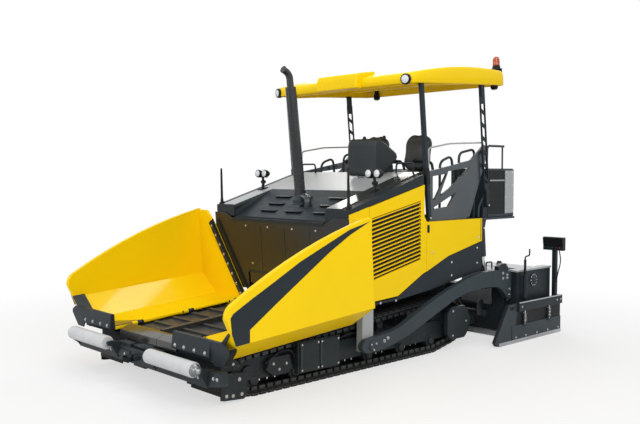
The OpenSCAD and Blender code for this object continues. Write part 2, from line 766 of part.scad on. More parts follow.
// Railing panels with slanted cut-outs, and the pivots of the canopy's posts
rail_y = [post_mid_y - post_s / 2 - free_gap - rail_t, post_mid_y - post_s / 2 - free_gap];
post_base_z = platform_z + 45;
module railings() {
    color(anthracite) both_sides() {
        difference() {
            plate_xz([
                [post_base_x - 30, platform_z],
                [-2069, platform_z],
                [-2036, platform_z + 150],
                [-2516, 2460],
                [-2415, platform_z + rail_h],
                [-2330, platform_z + rail_h],
                [-2088, 2465],
                [post_base_x - 30, 2360]
            ], rail_y);
            plate_xz([
                [post_base_x - 90, platform_z + 70],
                [post_base_x - 90, 2240],
                [-1560, 2290],
                [-1950, platform_z + 190]
            ], [rail_y[0] - bite, rail_y[1] + bite]);
            plate_xz([
                [-1650, 2305],
                [-2090, 2365],
                [-2350, 2420],
                [-1990, platform_z + 230]
            ], [rail_y[0] - bite, rail_y[1] + bite]);
        }
        box([post_base_x - 60, post_base_x + 30], rail_y, [platform_z, post_base_z + 45]);
        bar_y(post_base_x, post_base_z, [rail_y[0] + bite, post_mid_y + post_s / 2 + 4], post_pin_r);
        box([post_base_x - post_spacing - 40, post_base_x - post_spacing + 40], rail_y,
            [platform_z, post_base_z + post_rise + 40]);
        bar_y(post_base_x - post_spacing, post_base_z + post_rise,
            [rail_y[0] + bite, post_mid_y + post_s / 2 + 4], post_pin_r);
    }
}

// Tube rails round the front of the platform
handrail_x = bulkhead_x + 45;
handrail_y = [strip_y[0] - 360, strip_y[0] - 80];
handrail_h = 300;
handrail_r = 18;
module handrails() {
    color(slate) both_sides() {
        for (y = handrail_y) {
            plate_xz(hood_band(handrail_x - 40, handrail_x + 40, -25, -seat_gap), [y - 40, y + 40]);
            translate([handrail_x, y, hood_z(handrail_x) + 18]) cylinder(h = handrail_h - 18, r = handrail_r);
        }
        bar_y(handrail_x, hood_z(handrail_x) + handrail_h, [handrail_y[0] - handrail_r, handrail_y[1] + handrail_r],
            handrail_r);
    }
}

module cabinets() {
    color(slate) both_sides()
        box([cabinet_rear_x, chassis_rear_x - 230], [tongue_y[0], tongue_y[1] - 15], [platform_z, platform_z + cabinet_h]);
}

// Two seats on pedestals
seat_x = -1830;
seat_y = 390;
module seats() {
    color(black) both_sides() {
        translate([seat_x, seat_y, platform_z]) cylinder(h = 520, r = 110);
        box([seat_x - 230, seat_x + 250], [seat_y - 240, seat_y + 240], [platform_z + 510, platform_z + 640]);
        plate_xz([
            [seat_x - 230, platform_z + 600],
            [seat_x - 110, platform_z + 600],
            [seat_x - 190, platform_z + 1140],
            [seat_x - 290, platform_z + 1140]
        ], [seat_y - 220, seat_y + 220]);
    }
}

// Operator's console on its cross rail
rail_x = -1350;
rail_z = platform_z + 70;
rail_r = 20;
rail_end = 800;
console_y = [130, 640];
module console() {
    color(anthracite) difference() {
        union() {
            plate_xz([
                [-930, 2480], [-905, 2600], [-945, 2720], [-1030, 2755],
                [-1500, 2690], [-1500, 2640], [-1440, 2330], [-1290, 2330], [-1000, 2400]
            ], console_y);
            box([rail_x - 70, rail_x + 60], [console_y[0] + 120, console_y[1] - 120], [rail_z - 45, 2331]);
        }
        bar_y(rail_x, rail_z, [console_y[0], console_y[1]], rail_r + fit_gap);
    }
}

// Canopy posts lean forward together and fold back together
post_top_dx = post_len * sin(post_lean);
post_top_dz = post_len * cos(post_lean);
post_y = [post_mid_y - post_s / 2, post_mid_y + post_s / 2];
module post(x, z) {
    translate([x, 0, z]) rotate([0, post_lean, 0]) difference() {
        union() {
            box([-post_s / 2, post_s / 2], post_y, [0, post_len]);
            bar_y(0, 0, post_y, post_s / 2);
            bar_y(0, post_len, post_y, post_s / 2);
        }
        for (h = [0, post_len])
            bar_y(0, h, [post_y[0] - bite, post_y[1] + bite], post_pin_r + fit_gap);
    }
}
module canopy_front_posts() {
    color(anthracite) both_sides() post(post_base_x, post_base_z);
    color(anthracite) translate([post_base_x, 0, post_base_z]) rotate([0, post_lean, 0])
        box([-post_s / 2, post_s / 2], [-post_y[0] - bite, post_y[0] + bite], [post_len - 160, post_len - 120]);
}
module canopy_rear_posts() {
    color(anthracite) both_sides() post(post_base_x - post_spacing, post_base_z + post_rise);
    color(anthracite) translate([post_base_x - post_spacing, 0, post_base_z + post_rise]) rotate([0, post_lean, 0])
        box([-post_s / 2, post_s / 2], [-post_y[0] - bite, post_y[0] + bite], [post_len - 160, post_len - 120]);
}

// Roof frame: x along the roof from its middle, z square to its lower edge
front_top = [post_base_x + post_top_dx, post_base_z + post_top_dz];
rear_top = [front_top[0] - post_spacing, front_top[1] + post_rise];
roof_mid_x = (front_top[0] + rear_top[0]) / 2 - 130;
roof_mid_z = (front_top[1] + rear_top[1]) / 2 - 30;
module roof_frame() translate([roof_mid_x, 0, roof_mid_z]) rotate([0, roof_tilt, 0]) children();
// World height at x of the plane that lies h above the roof's lower edge
function roof_z(x, h) = roof_mid_z + (roof_mid_x - x) * tan(roof_tilt) + h / cos(roof_tilt);

// Rails under the roof with the pins of the post tops
frame_y = [post_y[0] - free_gap - 40, post_y[0] - free_gap];
roof_inner_h = roof_edge_h - roof_wall;
rail_over = 60;
rail_under = 45;
module canopy_frame() {
    color(anthracite) {
        both_sides() {
            plate_xz([
                [front_top[0] + rail_over, front_top[1] - rail_under],
                [rear_top[0] - rail_over, rear_top[1] - rail_under],
                [rear_top[0] - rail_over, roof_z(rear_top[0] - rail_over, roof_inner_h - seat_gap)],
                [front_top[0] + rail_over, roof_z(front_top[0] + rail_over, roof_inner_h - seat_gap)]
            ], frame_y);
            for (p = [front_top, rear_top])
                bar_y(p[0], p[1], [frame_y[1] - bite, post_y[1] + 4], post_pin_r);
        }
        for (p = [front_top + [-60, 0], rear_top + [60, 0]])
            box([p[0] - 25, p[0] + 25], [-frame_y[0] - bite, frame_y[0] + bite], [p[1] - 10, p[1] + 30]);
    }
}

// Roof: a crowned shell, open below
roof_corner_r = 60;
roof_w = 2 * (post_mid_y + roof_over);
crown_inset = 330;
header_out = 90;
header_y = [-400, 480];
module canopy_roof() {
    color(yellow) roof_frame() difference() {
        hull() for (sx = [-1, 1], sy = [-1, 1]) {
            translate([sx * (roof_len / 2 - roof_corner_r), sy * (roof_w / 2 - roof_corner_r), 0])
                cylinder(h = roof_edge_h, r = roof_corner_r, $fn = 32);
            translate([sx * (roof_len / 2 - crown_inset), sy * (roof_w / 2 - crown_inset), 0])
                cylinder(h = roof_crown_h, r = 160, $fn = 32);
        }
        box([-roof_len / 2 + roof_wall, roof_len / 2 - roof_wall], [-roof_w / 2 + roof_wall, roof_w / 2 - roof_wall],
            [-bite, roof_inner_h]);
    }
    color(yellow) roof_frame() plate_xz([
        [roof_len / 2 - bite, -10],
        [roof_len / 2 + header_out, -10],
        [roof_len / 2 + header_out - 40, roof_crown_h - 25],
        [roof_len / 2 - crown_inset, roof_crown_h - 5],
        [roof_len / 2 - bite, roof_edge_h - 20]
    ], header_y);
}

// Round lamps in the roof's front edge
roof_lamp_y = roof_w / 2 - 145;
module canopy_lamps() {
    color(silver) both_sides() roof_frame()
        translate([roof_len / 2, roof_lamp_y, roof_edge_h / 2]) rotate([0, 90, 0]) cylinder(h = 40, r = 48);
}

// Warning beacon on a bracket at the roof's rear edge
beacon_y = roof_w / 2 - 225;
beacon_bracket_h = 245;
module beacon() {
    color(orange) roof_frame() translate([-roof_len / 2, beacon_y, 0]) {
        box([-14, 0], [-55, 55], [30, beacon_bracket_h]);
        box([-14, 100], [-55, 55], [beacon_bracket_h - 14, beacon_bracket_h]);
        translate([45, 0, beacon_bracket_h - bite]) cylinder(h = 45, r = 38);
        translate([45, 0, beacon_bracket_h + 40]) cylinder(h = 125, r = 52);
    }
}

// Hopper wing: floor, slanted flange, upright wall and rear wall
wing_out = hopper_w / 2 - hinge_y;
flange_out = wing_out - 340;
wing_start = 30;
floor_len = wing_len - 105;
floor_lip = 30;
hinge_pin_r = 14;
hinge_eye_r = 24;
hinge_lug_w = 70;
hinge_x = [for (k = [0:2]) 180 + k * (floor_len - 520) / 2];
function hinge_eye_x(x) = [x + hinge_lug_w + free_gap, x + 2 * hinge_lug_w + free_gap];
function arc(c, r, a0, a1, n = 6) = [for (k = [0:n]) c + r * ray(a0 + (a1 - a0) * k / n)];
// Rim as an arc from the rear top to the front corner, which it meets in a common tangent
rim_end = [wing_len - wing_corner_r * 0.72, wing_front_h + 90];
rim_chord = rim_end - [0, wing_rear_h];
rim_slope = atan2(-rim_chord[1], rim_chord[0]);
rim_r = (pow(norm(rim_chord), 2) / 4 + pow(wing_rim_bulge, 2)) / (2 * wing_rim_bulge);
rim_half = asin(norm(rim_chord) / 2 / rim_r);
rim_c = rim_end - rim_r * ray(90 - rim_slope - rim_half);
corner_top = 90 - rim_slope - rim_half;
corner_c = rim_end - wing_corner_r * ray(corner_top);
module wing(side) {
    color(yellow) hopper_frame() on_side(side) translate([0, hinge_y, 0]) {
        plate_yz([
            [wing_start, -35], [flange_out, -wing_flange_d], [flange_out, -10], [wing_start, 0]
        ], [0, floor_len]);
        intersection() {
            plate_yz([
                [flange_out - bite, -wing_flange_d],
                [flange_out, -wing_flange_d],
                [wing_out, wing_crease_h],
                [wing_out, wing_rear_h + bite],
                [wing_out - wing_wall_t, wing_rear_h + bite],
                [wing_out - wing_wall_t, wing_crease_h + 110],
                [flange_out - bite, -10]
            ], [0, wing_len]);
            plate_xz(concat(
                [[0, -wing_flange_d - bite], [wing_len - 285, -wing_flange_d - bite],
                    [wing_len - 125, wing_crease_h]],
                arc(corner_c, wing_corner_r, 0, corner_top),
                arc(rim_c, rim_r, corner_top, corner_top + 2 * rim_half, 8)
            ), [0, wing_out]);
        }
        plate_yz([
            [wing_start, -35],
            [flange_out, -wing_flange_d],
            [wing_out - wing_wall_t / 2, wing_crease_h],
            [wing_out - wing_wall_t / 2, wing_rear_h - 20],
            [wing_out - 240, wing_rear_h - 20],
            [wing_out - 360, wing_rear_h - 150],
            [50, 0],
            [wing_start, 0]
        ], [0, 40]);
        for (x = hinge_x) difference() {
            union() {
                bar_x(0, 0, hinge_eye_x(x), hinge_eye_r);
                box(hinge_eye_x(x), [0, wing_start + bite], [-hinge_eye_r, 0]);
            }
            bar_x(0, 0, [x, x + 3 * hinge_lug_w], hinge_pin_r + fit_gap);
        }
    }
}

// Dark lip plate across the front of a wing's floor
module wing_plate(side) {
    color(anthracite) hopper_frame() on_side(side) translate([0, hinge_y, 0])
        plate_yz([
            [wing_start, -28], [flange_out, -28], [flange_out + 185, 147], [wing_start, 147]
        ], [floor_len, floor_len + floor_lip]);
}

// Swinging beam that carries the push rollers, with the tow eye
bracket_t = 22;
roller_outer_y = roller_inner_y + roller_len;
stub_shaft_r = 20;
bracket_gap = 4;
module push_beam() {
    color(anthracite) difference() {
        union() {
            box([pivot_x - 15, pivot_x + 100], [-roller_outer_y, roller_outer_y],
                [beam_bottom, beam_bottom + beam_height]);
            box([pivot_x - pivot_r - 30, pivot_x], [-140, 140], [beam_bottom, beam_bottom + beam_height]);
            both_sides() for (y = [roller_inner_y - bracket_gap - bracket_t, roller_outer_y + bracket_gap])
                plate_xz([
                    [pivot_x - 15, beam_bottom],
                    [pivot_x + 100, beam_bottom],
                    [roller_x + 45, roller_z - 50],
                    [roller_x + 45, roller_z + 50],
                    [roller_x - 45, roller_z + 50],
                    [pivot_x - 15, beam_bottom + beam_height]
                ], [y - (y > roller_outer_y ? bracket_gap + bite : 0), y + bracket_t]);
            translate([pivot_x + 190, 0, beam_bottom + 55]) cylinder(h = 50, r = tow_eye_r + 35);
            box([pivot_x + 100 - bite, pivot_x + 190], [-tow_eye_r - 35, tow_eye_r + 35],
                [beam_bottom + 55, beam_bottom + 105]);
        }
        translate([pivot_x, 0, beam_bottom - bite]) cylinder(h = beam_height + 2 * bite, r = pivot_r + fit_gap);
        translate([pivot_x + 190, 0, beam_bottom]) cylinder(h = beam_height, r = tow_eye_r);
        both_sides() {
            bar_y(roller_x, roller_z, [roller_inner_y - 60, roller_outer_y + 60], stub_shaft_r + fit_gap);
            bar_y(roller_x, roller_z, [roller_inner_y - bracket_gap, roller_outer_y + bracket_gap], roller_r + 10);
        }
    }
}
module push_roller(side) {
    color(silver) on_side(side) {
        bar_y(roller_x, roller_z, [roller_inner_y, roller_outer_y], roller_r);
        bar_y(roller_x, roller_z, [roller_inner_y - bracket_gap - bracket_t,
            roller_outer_y + bracket_gap + bracket_t], stub_shaft_r);
    }
}

// Tow arms from the tow points to the screed
module tow_arms() {
    color(slate) both_sides() difference() {
        plate_xz([
            [tow_x + 184, tow_z + 3],
            [tow_x + 130, tow_z + 75],
            [tow_x - 60, tow_z + 92],
            [-524, 447],
            [-1310, 767],
            [-2034, 967],
            [-2538, 993],
            [screed_front_x - 76, 928],
            [screed_front_x - 76, 560],
            [screed_front_x, 560],
            [-2632, 750],
            [-2248, 770],
            [-1777, 734],
            [-653, 321],
            [tow_x - 137, tow_z - 76],
            [tow_x + 130, tow_z - 76]
        ], arm_y);
        bar_y(tow_x, tow_z, [arm_y[0] - bite, arm_y[1] + bite], tow_pin_r + fit_gap);
    }
}

// Fixed screed: box, sole, cheeks that meet the arms and the pins of the lift rods
screed_half = arm_y[0] - screed_arm_gap;
screed_rear_x = screed_front_x - screed_depth;
sole_t = 30;
cheek_x = [screed_front_x - 76, screed_front_x];
module screed_main() {
    color(anthracite) difference() {
        union() {
            box([screed_rear_x, screed_front_x], [-screed_half, screed_half], [sole_z, sole_z + screed_h]);
            both_sides() {
                box(cheek_x, [screed_half - 60, screed_half], [sole_z + screed_h - bite, 940]);
                box(cheek_x, [screed_half - bite, arm_y[0]], [sole_z + screed_h + free_gap, 940]);
                box([cheek_x[1] - bite, cylinder_eye_x + 50], [cylinder_y - 15, cylinder_y + 15],
                    [cylinder_eye_z - 50, cylinder_eye_z + 60]);
                box(cheek_x, [cylinder_y - 15, screed_half - 60 + bite], [sole_z + screed_h - bite, cylinder_eye_z + 60]);
                bar_y(cylinder_eye_x, cylinder_eye_z, [cylinder_y - 40, cylinder_y + 40], eye_pin_r);
            }
        }
        for (z = guide_z)
            bar_y(guide_x, z, [-screed_half - bite, screed_half + bite], guide_r + fit_gap);
    }
}

// Light covers and walkway on the screed
module screed_covers() {
    color(light_grey) {
        box([screed_rear_x + 20, screed_front_x - 90], [-screed_half + 80, screed_half - 80],
            [sole_z + screed_h, sole_z + screed_h + 60]);
        both_sides() box([screed_rear_x + 60, screed_front_x - 90], [500, 1000],
            [sole_z + screed_h + 60 - bite, 900]);
    }
}

// Extending screeds behind the fixed one, on guide tubes
guide_x = (screed_rear_x + screed_front_x) / 2;
guide_z = [sole_z + 120, sole_z + screed_h - 110];
extension_front_x = screed_rear_x - free_gap;
extension_rear_x = extension_front_x - extension_depth;
extension_inner_y = 60;
end_plate_y = screed_half + end_plate_out;
end_y = [end_plate_y - end_plate_t, end_plate_y];
module screed_extension(side) {
    z = side > 0 ? guide_z[0] : guide_z[1];
    color(anthracite) on_side(side) {
        box([extension_rear_x, extension_front_x], [extension_inner_y, end_y[0]], [sole_z, sole_z + screed_h]);
        box([extension_front_x - bite, screed_front_x - 40], [screed_half + free_gap, end_y[0]],
            [sole_z, sole_z + screed_h]);
        bar_y(guide_x, z, [-screed_half + 200, screed_half + free_gap + bite], guide_r);
    }
}

// End plates that shut the sides of the paving width
module end_plate(side) {
    color(anthracite) on_side(side) {
        plate_xz([
            [end_plate_rear_x, 10],
            [-2280, 10],
            [-2230, 60],
            [-2540, 530],
            [end_plate_rear_x, 530]
        ], end_y);
        box([end_plate_rear_x, end_plate_rear_x + 60], [end_y[0] - 60, end_y[0] + bite], [300, 1370]);
        box([end_plate_rear_x, end_plate_rear_x + 70], [end_y[0] - 200, end_y[1] + 70], [1180, 1370]);
    }
}

// Auger: tube on its stub axle with one helical flight
auger_start_y = 60;
flight_t = 18;
flight_steps = 20 * auger_turns;
// Cross-section of the flight at step k: inner and outer edge, lower and upper face
function flight_ring(k, hand, length) =
    let (a = hand * 360 * auger_turns * k / flight_steps, z = (length - flight_t) * k / flight_steps)
    [for (p = [[auger_shaft_r - 5, 0], [auger_r, 0], [auger_r, flight_t], [auger_shaft_r - 5, flight_t]])
        [p[0] * cos(a), p[0] * sin(a), z + p[1]]];
module flight(hand, length) {
    faces_between = [for (k = [0:flight_steps - 1], j = [0:3])
        let (a = 4 * k + j, b = 4 * k + (j + 1) % 4) each [[a, b, b + 4], [a, b + 4, a + 4]]];
    end = 4 * flight_steps;
    faces = concat([[0, 2, 1], [0, 3, 2]], faces_between, [[end, end + 1, end + 2], [end, end + 2, end + 3]]);
    polyhedron(
        points = [for (k = [0:flight_steps]) each flight_ring(k, hand, length)],
        faces = hand < 0 ? [for (f = faces) [f[0], f[2], f[1]]] : faces
    );
}
module auger(side) {
    hand = side > 0 ? 1 : -1;
    length = auger_end_y - auger_start_y;
    color(slate) translate([auger_x, hand * auger_start_y, auger_z]) rotate([-90 * hand, 0, 0]) difference() {
        union() {
            cylinder(h = length, r = auger_shaft_r);
            flight(hand, length);
        }
        translate([0, 0, -bite]) cylinder(h = 160, r = stub_r + fit_gap);
    }
}

// Lift cylinders from the platform to the screed
lift_pin_r = 20;
cylinder_y = frame_half - cylinder_inset;
eye_pin_r = 16;
cylinder_len = norm([cylinder_top_x - cylinder_eye_x, cylinder_top_z - cylinder_eye_z]);
cylinder_lean = atan2(cylinder_top_x - cylinder_eye_x, cylinder_top_z - cylinder_eye_z);
rod_eye_r = 30;
rod_start = 85;
rod_top = 410;
eye_y = [20, 38];
module cylinder_frame(side) {
    on_side(side) translate([cylinder_top_x, cylinder_y, cylinder_top_z]) rotate([0, cylinder_lean, 0]) children();
}
module lift_barrel(side) {
    color(slate) cylinder_frame(side) difference() {
        union() {
            translate([0, 0, -barrel_len]) cylinder(h = barrel_len - 55, r = barrel_r);
            box([-30, 30], [-lug_gap / 2 + 4, lug_gap / 2 - 4], [-80, 0]);
            bar_y(0, 0, [-lug_gap / 2 + 4, lug_gap / 2 - 4], 34);
        }
        bar_y(0, 0, [-barrel_r, barrel_r], lift_pin_r + fit_gap);
        translate([0, 0, -barrel_len - bite]) cylinder(h = barrel_len - 90, r = rod_r + fit_gap);
    }
}
module lift_rod(side) {
    color(silver) cylinder_frame(side) difference() {
        union() {
            translate([0, 0, -cylinder_len + rod_start]) cylinder(h = cylinder_len - rod_start - rod_top, r = rod_r);
            bar_y(0, -cylinder_len, eye_y, rod_eye_r + 18);
            box([-rod_eye_r, rod_eye_r], eye_y, [-cylinder_len, -cylinder_len + rod_start + 10]);
        }
        bar_y(0, -cylinder_len, [-50, 50], rod_eye_r);
    }
}

centred() chassis_frame();
centred() track(1);  // track_left
centred() track(-1);  // track_right
centred() track_frame(1);  // track_frame_left
centred() track_frame(-1);  // track_frame_right
centred() track_deflectors();
centred() tow_guides();
centred() conveyors();
centred() hopper_apron();
centred() hopper_wall();
centred() engine();
centred() tank();
centred() hood();
centred() hood_strips();
centred() side_panels();
centred() lower_panels();
centred() exhaust();
centred() hood_lamps();
centred() corner_posts();
centred() platform();
centred() railings();
centred() handrails();
centred() cabinets();
centred() seats();
centred() console();
centred() canopy_front_posts();
centred() canopy_rear_posts();
centred() canopy_frame();
centred() canopy_roof();
centred() canopy_lamps();
centred() beacon();
centred() wing(1);  // wing_left
centred() wing(-1);  // wing_right
centred() wing_plate(1);  // wing_plate_left
centred() wing_plate(-1);  // wing_plate_right
centred() push_beam();
centred() push_roller(1);  // push_roller_left
centred() push_roller(-1);  // push_roller_right
centred() door(1);  // door_left
centred() door(-1);  // door_right
centred() tow_arms();
centred() screed_main();
centred() screed_covers();
centred() screed_extension(1);  // screed_extension_left
centred() screed_extension(-1);  // screed_extension_right
centred() end_plate(1);  // end_plate_left
centred() end_plate(-1);  // end_plate_right
centred() auger(1);  // auger_left
centred() auger(-1);  // auger_right
centred() lift_barrel(1);  // lift_barrel_left
centred() lift_barrel(-1);  // lift_barrel_right
centred() lift_rod(1);  // lift_rod_left
centred() lift_rod(-1);  // lift_rod_right
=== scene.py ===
"""Tracked asphalt paver: the looks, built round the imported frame."""
import math
from functools import partial

import bmesh
import bpy
from mathutils import Matrix, Vector


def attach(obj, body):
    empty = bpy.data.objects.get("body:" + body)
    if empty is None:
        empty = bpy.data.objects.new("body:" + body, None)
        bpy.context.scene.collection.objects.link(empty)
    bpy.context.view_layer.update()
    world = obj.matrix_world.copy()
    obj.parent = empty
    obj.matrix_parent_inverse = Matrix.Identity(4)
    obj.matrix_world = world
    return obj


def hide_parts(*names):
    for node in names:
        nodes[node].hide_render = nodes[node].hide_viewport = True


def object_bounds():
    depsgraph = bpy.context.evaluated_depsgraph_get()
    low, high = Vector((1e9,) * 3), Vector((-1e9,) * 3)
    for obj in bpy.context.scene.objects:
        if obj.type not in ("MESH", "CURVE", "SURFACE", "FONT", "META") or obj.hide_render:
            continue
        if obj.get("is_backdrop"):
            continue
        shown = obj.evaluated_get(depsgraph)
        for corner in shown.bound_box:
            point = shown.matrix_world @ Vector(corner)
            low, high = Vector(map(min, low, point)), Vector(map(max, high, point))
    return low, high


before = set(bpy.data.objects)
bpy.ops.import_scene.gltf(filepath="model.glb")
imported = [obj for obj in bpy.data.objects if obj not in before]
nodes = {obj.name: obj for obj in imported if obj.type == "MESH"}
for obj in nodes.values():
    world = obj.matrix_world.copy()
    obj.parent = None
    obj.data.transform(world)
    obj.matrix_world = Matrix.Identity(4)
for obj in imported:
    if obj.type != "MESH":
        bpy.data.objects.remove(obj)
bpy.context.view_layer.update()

# Places: the drawing's zero is the middle of the tracks
TRACK = Matrix.Translation((0.761, 0, 0))
HOPPER = TRACK @ Matrix.Translation((0.14, 0, 0.69)) @ Matrix.Rotation(math.radians(4.3), 4, "Y")
ROOF = TRACK @ Matrix.Translation((-1.83314, 0, 3.43919)) @ Matrix.Rotation(math.radians(3.3), 4, "Y")
DASH = TRACK @ Matrix.Translation((-1.06, 0, 2.718)) @ Matrix.Rotation(math.radians(-29.9), 4, "Y")
SIDES = (("left", 1), ("right", -1))
FORE = (1, 0, 0)
BACK = (-1, 0, 0)
OUT = (0, 1, 0)
UP = (0, 0, 1)
BODY_SIDE = 1.25
HOOD_FRONT_X = 0.16
HOOD_FRONT_Z = 1.881
HOOD_SLOPE = math.tan(math.radians(16.9))
DECK_FRONT = 0.1625
DECK_REAR = -0.46
DECK_DROP = 0.15


def hood_z(x):
    return HOOD_FRONT_Z + (HOOD_FRONT_X - x) * HOOD_SLOPE


def deck_z(x):
    return hood_z(x) - DECK_DROP * (DECK_REAR - x) / (DECK_REAR - DECK_FRONT)


# Materials
DUST = "#8d867b"


def linear(colour):
    values = []
    for k in (1, 3, 5):
        c = int(colour[k:k + 2], 16) / 255
        values.append(c / 12.92 if c <= 0.04045 else ((c + 0.055) / 1.055) ** 2.4)
    return (*values, 1.0)


def add_node(tree, kind, operation=None, **sockets):
    """A shader node with its sockets set or linked: _0, _1 are by number, a node gives its first output."""
    node = tree.nodes.new("ShaderNode" + kind)
    if operation:
        node.operation = operation
    for key, value in sockets.items():
        target = node.inputs[int(key[1:]) if key[0] == "_" else key.replace("_", " ")]
        if isinstance(value, bpy.types.Node):
            value = value.outputs[0]
        if isinstance(value, bpy.types.NodeSocket):
            tree.links.new(value, target)
        else:
            target.default_value = value
    return node


def surface(name, colour, rough, metallic=0.0, coat=0.0, specular=0.5, vary=0.05, vary_scale=1.6,
            rough_vary=0.07, grain="noise", grain_scale=160.0, grain_depth=0.0003, dust=0.0):
    """A painted, metal, rubber or plastic surface with its own tone, gloss and grain."""
    material = bpy.data.materials.new(name)
    material.use_nodes = True
    tree = material.node_tree
    shader = tree.nodes["Principled BSDF"]
    shader.inputs["Metallic"].default_value = metallic
    shader.inputs["Coat Weight"].default_value = coat
    shader.inputs["Coat Roughness"].default_value = 0.06
    shader.inputs["Specular IOR Level"].default_value = specular

    add = partial(add_node, tree)
    place = add("TexCoord").outputs["Object"]
    tone = add("TexNoise", Vector=place, Scale=vary_scale, Detail=5.0)
    level = add("MapRange", Value=tone, From_Min=0.3, From_Max=0.7, To_Min=1 - vary, To_Max=1 + vary)
    tint = add("HueSaturation", Color=linear(colour), Value=level)
    base = tint.outputs["Color"]
    if dust:
        height = add("SeparateXYZ", Vector=place).outputs["Z"]
        low = add("MapRange", Value=height, From_Min=0.0, From_Max=0.9, To_Min=dust, To_Max=0.0)
        patch = add("TexNoise", Vector=place, Scale=7.0, Detail=8.0)
        share = add("Math", "MULTIPLY", _0=low, _1=patch)
        mix = tree.nodes.new("ShaderNodeMix")
        mix.data_type = "RGBA"
        tree.links.new(share.outputs["Value"], mix.inputs["Factor"])
        tree.links.new(base, mix.inputs[6])
        mix.inputs[7].default_value = linear(DUST)
        base = mix.outputs[2]
    tree.links.new(base, shader.inputs["Base Color"])
    patchy = add("TexNoise", Vector=place, Scale=11.0, Detail=6.0)
    gloss = add("MapRange", Value=patchy, From_Min=0.3, From_Max=0.7, To_Min=max(rough - rough_vary, 0.02),
                To_Max=min(rough + rough_vary, 1.0))
    tree.links.new(gloss.outputs["Result"], shader.inputs["Roughness"])
    if grain == "cells":
        height = add("TexVoronoi", Vector=place, Scale=grain_scale)
    elif grain == "dots":
        dots = add("TexVoronoi", Vector=place, Scale=grain_scale, Randomness=0.0)
        height = add("MapRange", Value=dots, From_Min=0.18, From_Max=0.3, To_Min=1.0, To_Max=0.0)
    elif grain == "brushed":
        along = add("Mapping", Vector=place, Scale=(1.0, 0.03, 1.0))
        height = add("TexNoise", Vector=along, Scale=grain_scale, Detail=3.0)
    else:
        height = add("TexNoise", Vector=place, Scale=grain_scale, Detail=3.0)
    bump = add("Bump", Strength=0.6, Distance=grain_depth, Height=height)
    tree.links.new(bump.outputs["Normal"], shader.inputs["Normal"])
    return material


yellow = surface("yellow", "#FAD20A", 0.36, coat=0.2, specular=0.04, vary=0.02, grain_depth=0.00012)
anthracite = surface("anthracite", "#20292F", 0.4, specular=0.22, vary=0.1, dust=0.1)
wall_paint = surface("wall_paint", "#1E2124", 0.24, specular=0.5, vary=0.06, vary_scale=2.0,
                     rough_vary=0.02, grain_depth=0.00006)
slate = surface("slate", "#333D43", 0.44, specular=0.22, vary=0.09, dust=0.1)
black = surface("black", "#101214", 0.46, specular=0.25, vary=0.12)
gloss_dark = surface("gloss_dark", "#2A2B28", 0.14, coat=0.4, specular=0.5, vary=0.06, rough_vary=0.02,
                     grain_depth=0.00005)
pale = surface("pale", "#A6AAAC", 0.34, specular=0.4, vary=0.04, rough_vary=0.03, grain_depth=0.00008)
satin = surface("satin", "#5C6266", 0.36, metallic=0.75, specular=0.4, vary=0.1, vary_scale=2.2,
                grain_depth=0.00015)
hub_steel = surface("hub_steel", "#85888A", 0.34, metallic=0.8, vary=0.1, grain="brushed",
                    grain_scale=260.0)
stack_paint = surface("stack_paint", "#22272A", 0.26, specular=0.5, coat=0.15, vary=0.08, rough_vary=0.03,
                      grain_depth=0.00006)
roller_paint = surface("roller_paint", "#C9CBCC", 0.4, specular=0.4, vary=0.06, vary_scale=6.0, dust=0.04)
rubber = surface("rubber", "#121415", 0.7, specular=0.2, vary=0.16, vary_scale=5.0, grain_scale=320.0,
                 grain_depth=0.0007, dust=0.06)
tread_rubber = surface("tread_rubber", "#1A1C1E", 0.78, specular=0.2, vary=0.22, vary_scale=9.0,
                       grain_scale=260.0, grain_depth=0.001, dust=0.2)
steel = surface("steel", "#34383B", 0.48, metallic=0.5, vary=0.2, vary_scale=8.0, rough_vary=0.14,
                grain_scale=90.0, grain_depth=0.0008, dust=0.16)
bright = surface("bright", "#C9CBCD", 0.26, metallic=1.0, vary=0.06, grain="brushed", grain_scale=420.0)
chrome = surface("chrome", "#DADCDD", 0.1, metallic=1.0, vary=0.02, rough_vary=0.03, grain_depth=0.00005)
plastic = surface("plastic", "#2B3033", 0.46, specular=0.3, vary=0.08, grain="cells", grain_scale=520.0,
                  grain_depth=0.0003)
vinyl = surface("vinyl", "#35383A", 0.48, specular=0.4, vary=0.1, vary_scale=6.0, grain="cells",
                grain_scale=300.0, grain_depth=0.0006)
floor_plate = surface("floor_plate", "#343B41", 0.46, metallic=0.3, vary=0.12, grain="dots",
                      grain_scale=22.0, grain_depth=0.004)
lens = surface("lens", "#D5DCDF", 0.08, specular=0.8, coat=0.6, vary=0.05, grain="dots", grain_scale=70.0,
               grain_depth=0.001)
amber = surface("amber", "#B8480C", 0.12, specular=0.6, coat=0.4, vary=0.1, grain="brushed",
                grain_scale=120.0, grain_depth=0.0008)
screen = surface("screen", "#0D1418", 0.1, specular=0.7, coat=0.6, vary=0.1, grain_depth=0.00004)
red = surface("red", "#B31914", 0.35, specular=0.4, vary=0.05)


# Shapes
def corner_arc(a, b, c, radius, steps):
    """Points on an arc that rounds the corner b between a and c."""
    a, b, c = Vector(a), Vector(b), Vector(c)
    reach = min(radius, (a - b).length * 0.49, (c - b).length * 0.49)
    start = b + (a - b).normalized() * reach
    end = b + (c - b).normalized() * reach
    return [start * (1 - t) ** 2 + b * 2 * t * (1 - t) + end * t ** 2
            for t in (k / steps for k in range(steps + 1))]


def rounded(points, radius, steps=5):
    """The line through the points with its corners turned into arcs."""
    line = [Vector(points[0])]
    for a, b, c in zip(points, points[1:], points[2:]):
        line += corner_arc(a, b, c, radius, steps)
    return line + [Vector(points[-1])]


